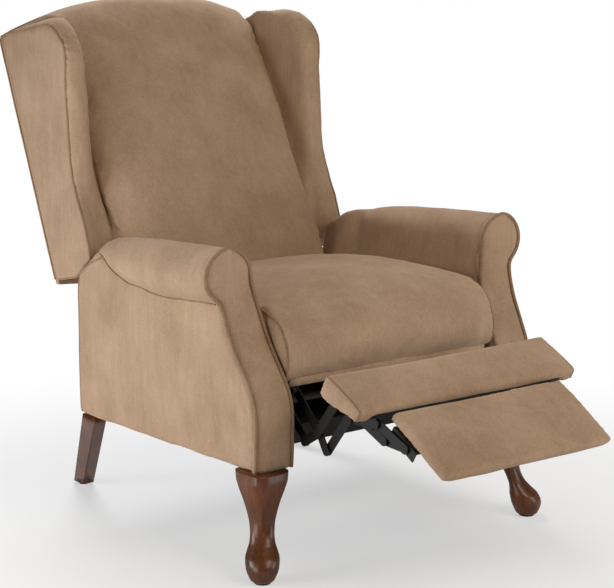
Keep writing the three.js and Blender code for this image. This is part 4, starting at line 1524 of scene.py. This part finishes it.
@dataclass
class Seat(Part):
    """The waterfall seat cushion with its boxed ends, and the cloth over the seat frame's front."""

    half: float = 281.0
    low: float = 385.0
    # Y and height of the end boxing, from the rear over the nose to the lip
    profile: Outline = (
        (224, 497),
        (150, 508),
        (40, 519),
        (-80, 526),
        (-170, 529),
        (-224, 527),
        (-256, 521),
        (-280, 511),
        (-298, 496),
        (-308, 478),
        (-317, 456),
        (-320, 430),
        (-317, 408),
        (-311, 392),
    )
    # Y of the points along the underside, and the rear's own points
    under: tuple[int, ...] = (-296, -200, -60, 100, 216)
    rear: Outline = ((226, 400), (227, 450))
    # How far the crown rises, and the heights and the Y over which it does
    crown: float = 17.0
    crown_heights: Pair = (440.0, 520.0)
    crown_depths: Pair = (-330.0, -210.0)
    # How far the nose swells, and the heights and the distances forward over which it does
    nose: float = 13.0
    nose_heights: Pair = (386.0, 416.0)
    nose_depths: Pair = (220.0, 300.0)
    # The ends are held in by this much at the foot, and may stand out by this much higher up.
    held_in: float = 5.0
    stand_out: float = 3.5
    eased_over: float = 90.0
    # The cloth band over the frame's front: half width, and Y and height round its section
    band_half: float = 263.0
    band_sag: float = 0.8
    band: Outline = (
        (-300.5, 399),
        (-302.5, 390),
        (-300.8, 377.5),
        (-294.0, 376.5),
        (-250.0, 376.5),
        (-250.0, 378.5),
        (-298.0, 378.8),
        (-298.5, 398),
    )

    def swollen(self, x: float, y: float, z: float) -> Pair:
        """Lifts the crown in the middle and swells the nose forward.

        Args:
            x: The place across.
            y: Y of the side outline.
            z: The outline's height.

        Returns:
            The swollen Y and Z.
        """
        middle = max(0.0, 1 - abs(x / self.half) ** 3.0)
        rise = middle * self.crown * ramp(z, *self.crown_heights) * ramp(y, *self.crown_depths)
        nose = middle * self.nose * ramp(-y, *self.nose_depths) * ramp(z, *self.nose_heights)
        return y - nose, z + rise

    def cushion(self) -> bpy.types.Object:
        """Builds the seat cushion.

        Returns:
            The cushion's cover.
        """
        under = [(y, self.low) for y in self.under]
        outline = side_points(self.profile, 84) + under + list(self.rear)
        rings = outline_rings(outline, across(self.half, 35), self.swollen, self.shift)
        made = remeshed(loft("seat_cushion_cover", rings), COVER_VOXEL, 4)
        made = inflated(made, pressure=3.5, cap=20.0)
        seams = [Line(self.boxing(side)) for side in Side]

        def crease(place: Vector) -> float:
            """The boxing's seam, its puckers and the padding's unevenness."""
            seam = seams[place.x >= 0]
            seed = 61.0 + (place.x > 0) * 5
            fold = seam.groove(place, width=7.0, depth=4.0)
            fold += seam.gathers(place, reach=22.0, height=1.9, pitch=27.0, seed=seed)
            return fold + ripple(place, 2.4, 110.0, 61.0) + ripple(place, 0.8, 36.0, 63.0)

        displaced(made, crease)
        # The seat has to slide between the arms, so its ends are held in.
        inner, outer = self.half - self.held_in, self.half + self.stand_out
        for vertex in made.data.vertices:
            share = smooth((vertex.co.z / MM - self.low) / self.eased_over)
            reach = mix(inner, outer, share) * MM
            vertex.co.x = max(-reach, min(reach, vertex.co.x))
            vertex.co.z = max(vertex.co.z, (self.low - 1) * MM)
        return made

    def boxing(self, side: Side) -> list[Point]:
        """The seam round the end panel on that side."""
        run = side_points(self.profile, 90)
        return [(side.sign * (self.half + 1.5), y + self.shift, z) for y, z in run]

    def build(self) -> None:
        """Builds the seat's soft pieces."""
        cloth = self.finishes.fabric
        cushion = self.settle(self.cushion(), "seat", cloth, nodes=("seat_cushion",), fill=0.75)
        for side in Side:
            # The welt starts in front of the back cushion.
            self.welt(f"{side.word}_seat_welt", cushion, self.boxing(side)[18:], radius=2.4)
        rings = []
        for k in range(31):
            x = mix(-self.band_half, self.band_half, k / 30)
            ring = [(x, y + self.shift, z) for y, z in self.band]
            ring[1] = (x, ring[1][1] + self.band_sag * math.sin(x / 31), ring[1][2])
            rings.append(ring)
        self.settle(loft("seat_front_band", rings), "seat", cloth)


@dataclass
class Board(Part):
    """A padded leaf of the footrest, built in its own plane and then tilted into place."""

    name: str = "footrest"
    corner: Pair = (-448.0, 436.0)
    tilt: float = 26.0
    half: float = 288.0
    depth: float = 124.0
    thick: float = 50.0
    middle: float = 17.0
    flap: float = 34.0
    fullness: float = 6.0
    crown: float = 5.0
    # Half the width over which the leaf thickens into its end flaps
    flap_turn: float = 8.0
    # The front lip's share of the flaps' thickness, and how far the nose's corners are rounded
    lip: float = 0.62
    rounded: float = 6.0
    # How much lower the top lies at its rear and front edges
    dip: float = 1.5

    def place(self, x: float, along: float, up: float) -> Point:
        """Turns a point in the leaf's plane to one in the frame.

        Args:
            x: Across the chair.
            along: From the rear edge to the nose.
            up: Off the top face.

        Returns:
            The point in the frame.
        """
        turn = math.radians(self.tilt)
        y = self.corner[0] - along * math.cos(turn) - up * math.sin(turn)
        z = self.corner[1] - along * math.sin(turn) + up * math.cos(turn)
        return (x, y + self.shift, z)

    def section(self, x: float) -> list[Pair]:
        """The leaf's outline, with its thick end flaps.

        Args:
            x: The place across.

        Returns:
            The places along the leaf and off its top face, round the outline.
        """
        flap = self.half - self.flap
        edge = ramp(abs(x), flap - self.flap_turn, flap + self.flap_turn)
        deep = mix(self.middle, self.thick, edge)
        front = mix(self.middle, self.thick * self.lip, edge)
        nose = self.depth - self.rounded * (abs(x) / self.half) ** 6
        line = []
        for k in range(25):
            share = k / 24
            arch = math.sin(math.pi * share)
            crown = self.crown * arch**0.7 * (1 - abs(x / self.half) ** 4)
            line.append((mix(2, nose - 3, share), crown - self.dip * (1 - arch)))
        line += [(nose, -5), (nose, -front * 0.6), (nose - 3, -front)]
        for k in range(1, 20):
            share = k / 20
            line.append((mix(nose - 3, 2, share), -mix(front, deep, smooth(share * 1.2))))
        return [*line, (0.5, -deep * 0.93), (0, -deep * 0.5), (0.5, -5)]

    def build(self) -> None:
        """Builds the padded leaf with its edge seams."""
        rings = []
        for x in across(self.half - 1, 65):
            rings.append([self.place(x, along, up) for along, up in self.section(x)])
        made = remeshed(loft(f"{self.name}_cover", rings), COVER_VOXEL - 1, 2)
        made = inflated(made, pressure=2.0, cap=self.fullness)
        seams = []
        for end in (2 - self.half, self.half - 2):
            seams.append(Line([self.place(end, along, -1) for along in np.linspace(0, self.depth, 40)]))

        def crease(place: Vector) -> float:
            """Puckers beside the end seams and the padding's unevenness."""
            seam = seams[place.x >= 0]
            fold = seam.groove(place, width=5.0, depth=1.8)
            fold += seam.gathers(place, reach=16.0, height=0.5, pitch=21.0, seed=71.0)
            return fold + ripple(place, 1.3, 90.0, 71.0) + ripple(place, 0.4, 30.0, 73.0)

        displaced(made, crease)
        cloth = self.finishes.fabric
        cover = self.settle(made, self.name, cloth, nodes=(f"{self.name}_pad",), fill=0.6)
        if not self.flap:
            return
        for side in Side:
            x = side.sign * (self.half - 1)
            run = []
            for along in np.linspace(1, self.depth - 1, 40):
                run.append(self.place(x, along, 0.5 - 3 * (along / self.depth) ** 6))
            run += [self.place(x, self.depth - 1 - k, -3 - 9 * k) for k in range(1, 4)]
            self.welt(f"{side.word}_{self.name}_welt", cover, run, radius=1.4)


@dataclass
class Legs(Part):
    """Cabriole front legs and raked rear legs."""

    top: float = 215.6
    low: float = 4.4
    cabriole: Table = (
        # Height share, reach, half width, squareness, thickness along the reach
        (0, 1, 0.47, 0, 1),
        (0.012, 1, 0.54, 0, 1),
        (0.03, 1, 0.59, 0, 1),
        (0.09, 0.99, 0.71, 0, 1),
        (0.145, 0.96, 0.78, 0, 0.98),
        (0.21, 0.88, 0.79, 0, 0.9),
        (0.28, 0.74, 0.7, 0, 0.76),
        (0.34, 0.62, 0.6, 0, 0.7),
        (0.41, 0.5, 0.56, 0, 0.7),
        (0.5, 0.38, 0.57, 0.1, 0.74),
        (0.6, 0.29, 0.64, 0.3, 0.8),
        (0.72, 0.22, 0.77, 0.5, 0.87),
        (0.84, 0.15, 0.93, 0.7, 0.94),
        (0.93, 0.06, 1, 0.9, 1),
        (1, 0, 1, 1, 1),
    )
    # Where a front leg's top block stands, its half width, and how far the foot reaches out
    front: Pair = (326.0, -292.0)
    block: float = 44.0
    reach: Pair = (36.0, -50.0)
    # The power that squares the block: 1 is a circle.
    squared: float = 0.42
    # A fine line is turned round the foot: its height share, width and depth.
    line: Point = (0.14, 0.006, 0.02)
    # A rear leg at the foot and at the top: distance out, Y, width and depth
    rear_foot: tuple[float, ...] = (293, 461, 30, 42)
    rear_top: tuple[float, ...] = (369, 277, 31, 56)
    eased: float = 2.5

    def ring(self, side: Side, rise: float) -> list[Point]:
        """One level of a cabriole leg, between a circle and a square with eased corners.

        Args:
            side: The leg's side.
            rise: The level's share of the leg's height.

        Returns:
            The ring's points.
        """
        reach, wide, square, thin = (read(self.cabriole, rise, c) for c in (1, 2, 3, 4))
        at, width, depth = self.line
        wide -= depth * bell(rise - at, width)
        out_x, out_y = self.reach
        way = Vector((side.sign * out_x, out_y)).normalized()
        x = side.sign * (self.front[0] + out_x * reach)
        middle = Vector((x, self.front[1] + out_y * reach + self.shift))
        power = mix(1.0, self.squared, square)
        points = []
        for k in range(40):
            angle = k / 40 * math.tau + math.tau / 80
            c, s = math.cos(angle), math.sin(angle)
            corner = Vector((math.copysign(abs(c) ** power, c), math.copysign(abs(s) ** power, s)))
            out = self.block * wide * corner
            out -= way * out.dot(way) * (1 - thin)
            points.append((middle.x + out.x, middle.y + out.y, mix(self.low, self.top, rise)))
        return points

    def rear_leg(self, side: Side) -> bpy.types.Object:
        """Builds one raked square leg with its edges eased.

        Args:
            side: The leg's side.

        Returns:
            The leg.
        """
        rings = []
        for k in range(12):
            rise = k / 11
            x, y, wide, deep = (mix(a, b, rise) for a, b in zip(self.rear_foot, self.rear_top))
            ring = []
            for corner in range(4):
                facing = math.tau * (corner + 0.5) / 4
                corner_x = side.sign * x + math.copysign(wide / 2 - self.eased, math.cos(facing))
                corner_y = y + self.shift + math.copysign(deep / 2 - self.eased, math.sin(facing))
                for step in range(4):
                    angle = math.tau * (corner / 4 + step / 12)
                    out_x, out_y = self.eased * math.cos(angle), self.eased * math.sin(angle)
                    ring.append((corner_x + out_x, corner_y + out_y, mix(self.low, self.top, rise)))
            rings.append(ring)
        made = loft(f"{side.word}_rear_leg_tapered", rings)
        flat = made.modifiers.new("flat_faces", "WEIGHTED_NORMAL")
        flat.keep_sharp = True
        return made

    def build(self) -> None:
        """Builds the four legs."""
        wood = self.finishes.wood
        for side in Side:
            rings = [self.ring(side, k / 69) for k in range(70)]
            leg = loft(f"{side.word}_front_leg_turned", rings)
            self.settle(leg, "base", wood, "polished_wood", (f"{side.word}_front_leg",))
            leg = self.rear_leg(side)
            self.settle(leg, "base", wood, "polished_wood", (f"{side.word}_rear_leg",))


@dataclass
class DustCover(Part):
    """The black non-woven cloth that is stapled under the base."""

    half: float = 264.0
    front: float = -180.0
    rear: float = 292.0
    height: float = 217.6
    thick: float = 0.7
    # How far the cloth hangs in the middle, how much that varies, and over what distance
    slack: float = 1.2
    uneven: float = 1.3
    patch: float = 70.0

    def build(self) -> None:
        """Builds the cloth, slightly slack between its staples."""
        rings = []
        for i in range(45):
            y = mix(self.front, self.rear, i / 44)
            upper, lower = [], []
            for k in range(49):
                x = mix(-self.half, self.half, k / 48)
                loose = (1 - abs(x / self.half) ** 4) * math.sin(math.pi * i / 44)
                place = Vector((x / self.patch, y / self.patch, 3.0))
                sag = loose * (self.slack + self.uneven * noise.noise(place))
                upper.append((x, y + self.shift, self.height + self.thick - sag))
                lower.append((x, y + self.shift, self.height - sag))
            rings.append(upper + lower[::-1])
        made = loft("dust_cover", rings)
        dress(made, self.finishes.cloth)
        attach(made, "base")
        LOG.info("stapled %s under the base", made.name)


@dataclass
class Hardware(Part):
    """The CAD pieces that stay: steel, frame boards, springs and glides."""

    boards: tuple[str, ...] = ("board", "frame", "rear_panel", "front_rail", "rear_rail")

    def build(self) -> None:
        """Dresses every CAD node that is still shown."""
        for made in sorted(bpy.data.objects, key=lambda o: o.name):
            if "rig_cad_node" not in made or made.hide_render:
                continue
            slot, material, edge = self.kind(made.name)
            dress(made, material)
            if edge:
                ease = made.modifiers.new("eased_edges", "BEVEL")
                ease.width = edge * MM
                ease.segments = 2
                ease.limit_method = "ANGLE"
                ease.angle_limit = math.radians(40)
            LOG.info("dressed %s as %s", made.name, slot)

    def kind(self, name: str) -> tuple[str, bpy.types.Material, float]:
        """What a CAD node is made of.

        Args:
            name: The node's name.

        Returns:
            Its slot, its material and the radius of its edges in millimetres.
        """
        if "glide" in name:
            return "nylon", self.finishes.nylon, 0.6
        if "spring" in name:
            return "spring_steel", self.finishes.wire, 0.0
        if any(word in name for word in self.boards):
            return "frame_wood", self.finishes.frame, 1.5
        return "black_steel", self.finishes.steel, 0.5


@dataclass
class Studio:
    """A bright photographic sweep with soft boxes and the camera that matches the photograph."""

    shift: float
    # The camera, in metres, degrees and millimetres
    eye: Point = (-2.4805, -3.2544, 1.3041)
    azimuth: float = -37.44
    elevation: float = 11.28
    lens: float = 111.6
    sensor: float = 36.0
    # Half the floor's side in millimetres, and where it fades into the backdrop, in metres
    floor_half: float = 9000.0
    fade: Pair = (0.5, 1.5)
    white: tuple[float, ...] = (1.0, 1.0, 1.0, 1.0)
    dome: tuple[float, ...] = (1.0, 0.95, 0.87, 1.0)
    dome_strength: float = 0.12
    cool: Point = (0.9, 0.98, 1.0)
    warm: Point = (1.0, 0.89, 0.76)

    def lamp(
        self,
        name: str,
        place: Point,
        aim: Point,
        size: float,
        power: float,
        tint: Point = (1.0, 1.0, 1.0),
    ) -> None:
        """Hangs one square soft box.

        Args:
            name: The lamp's name.
            place: Its place in metres.
            aim: The point that it faces, in metres.
            size: Its side in metres.
            power: Its power in watts.
            tint: Its colour.
        """
        data = bpy.data.lights.new(name, "AREA")
        data.size = size
        data.energy = power
        data.color = tint
        made = bpy.data.objects.new(name, data)
        bpy.context.scene.collection.objects.link(made)
        made.location = place
        away = Vector(place) - Vector(aim)
        made.rotation_euler = away.to_track_quat("Z", "Y").to_euler()
        made.visible_camera = False

    def world(self) -> None:
        """White behind the chair and a soft dome around it."""
        world = bpy.data.worlds.new("studio")
        world.use_nodes = True
        tree = world.node_tree
        tree.nodes.clear()
        path = add(tree, "ShaderNodeLightPath")
        white = add(tree, "ShaderNodeBackground", Color=self.white, Strength=1.0)
        dome = add(tree, "ShaderNodeBackground", Color=self.dome, Strength=self.dome_strength)
        mixed = add(
            tree,
            "ShaderNodeMixShader",
            Fac=path.outputs["Is Camera Ray"],
            i1=dome.outputs["Background"],
            i2=white.outputs["Background"],
        )
        add(tree, "ShaderNodeOutputWorld", Surface=mixed.outputs["Shader"])
        bpy.context.scene.world = world

    def floor(self) -> None:
        """A white floor that keeps the chair's own soft shadow and fades into the backdrop."""
        far, near = self.floor_half, -self.floor_half
        square = [(near, near, 0), (far, near, 0), (far, far, 0), (near, far, 0)]
        made = mesh_object("studio_floor", square, [(0, 1, 2, 3)])
        # Matte white background paper: no gloss, and a soft shadow.
        material, tree = new_material("studio_paper")
        paper = add(
            tree,
            "ShaderNodeBsdfPrincipled",
            Base_Color=linear("#eef0f3"),
            Roughness=0.9,
            Specular_IOR_Level=0.1,
        )
        place = add(tree, "ShaderNodeTexCoord").outputs["Object"]
        reach = add(tree, "ShaderNodeVectorMath", {"operation": "LENGTH"}, i0=place)
        fade = add(
            tree,
            "ShaderNodeMapRange",
            {"interpolation_type": "SMOOTHSTEP"},
            Value=reach.outputs["Value"],
            From_Min=self.fade[0],
            From_Max=self.fade[1],
            To_Min=0.5,
            To_Max=1.0,
        ).outputs["Result"]
        seen = add(tree, "ShaderNodeLightPath").outputs["Is Camera Ray"]
        both = add(tree, "ShaderNodeMath", {"operation": "MULTIPLY"}, i0=fade, i1=seen)
        glow = add(tree, "ShaderNodeEmission", Color=self.white, Strength=1.0)
        mixed = add(
            tree,
            "ShaderNodeMixShader",
            Fac=both.outputs["Value"],
            i1=paper.outputs["BSDF"],
            i2=glow.outputs["Emission"],
        )
        add(tree, "ShaderNodeOutputMaterial", Surface=mixed.outputs["Shader"])
        dress(made, material)

    def camera(self) -> None:
        """Sets the camera."""
        data = bpy.data.cameras.new("camera")
        data.lens = self.lens
        data.sensor_width = self.sensor
        data.clip_end = 60
        made = bpy.data.objects.new("camera", data)
        bpy.context.scene.collection.objects.link(made)
        x, y, z = self.eye
        made.location = (x, y + self.shift * MM, z)
        azimuth, elevation = math.radians(self.azimuth), math.radians(self.elevation)
        level = math.cos(elevation)
        back = (math.sin(azimuth) * level, -math.cos(azimuth) * level, math.sin(elevation))
        made.rotation_euler = Vector(back).to_track_quat("Z", "Y").to_euler()
        bpy.context.scene.camera = made

    def build(self) -> None:
        """Sets the whole stage."""
        self.world()
        self.floor()
        middle, high_middle = (-0.4, 0.0, 0.45), (0.0, 0.0, 0.6)
        self.lamp("side", (-2.1, 0.35, 0.75), middle, size=0.8, power=17)
        self.lamp("side_low", (-2.0, -0.5, 0.35), (-0.4, 0.0, 0.35), size=0.8, power=9)
        self.lamp("rim", (0.6, 1.7, 2.4), (0.0, 0.1, 0.6), size=1.3, power=44)
        self.lamp("front_right", (1.9, -2.8, 0.8), (0.0, 0.0, 0.5), 1.4, power=22, tint=self.cool)
        self.lamp("front_high", (0.2, -2.6, 2.4), high_middle, 1.6, power=38, tint=self.warm)
        self.camera()
        bpy.context.scene.view_settings.view_transform = "Standard"


def main() -> None:
    """Builds the dressed recliner on its frame."""
    logging.basicConfig(level=logging.INFO, format="%(name)s: %(message)s")
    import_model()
    # The front rail's front face stands this far before the design's origin.
    rail_front = 188
    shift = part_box("front_rail")[0].y / MM + rail_front
    finishes = Finishes()
    for side in Side:
        Arm(finishes, shift, side).build()
        Wing(finishes, shift, side).build()
    Back(finishes, shift).build()
    Seat(finishes, shift).build()
    Board(finishes, shift).build()
    Board(
        finishes,
        shift,
        name="extension",
        corner=(-574.0, 377.5),
        tilt=31.0,
        half=222.0,
        depth=183.0,
        thick=21.0,
        middle=21.0,
        flap=0.0,
        fullness=3.0,
    ).build()
    Legs(finishes, shift).build()
    DustCover(finishes, shift).build()
    Hardware(finishes, shift).build()
    Studio(shift).build()


if __name__ == "__main__":
    main()
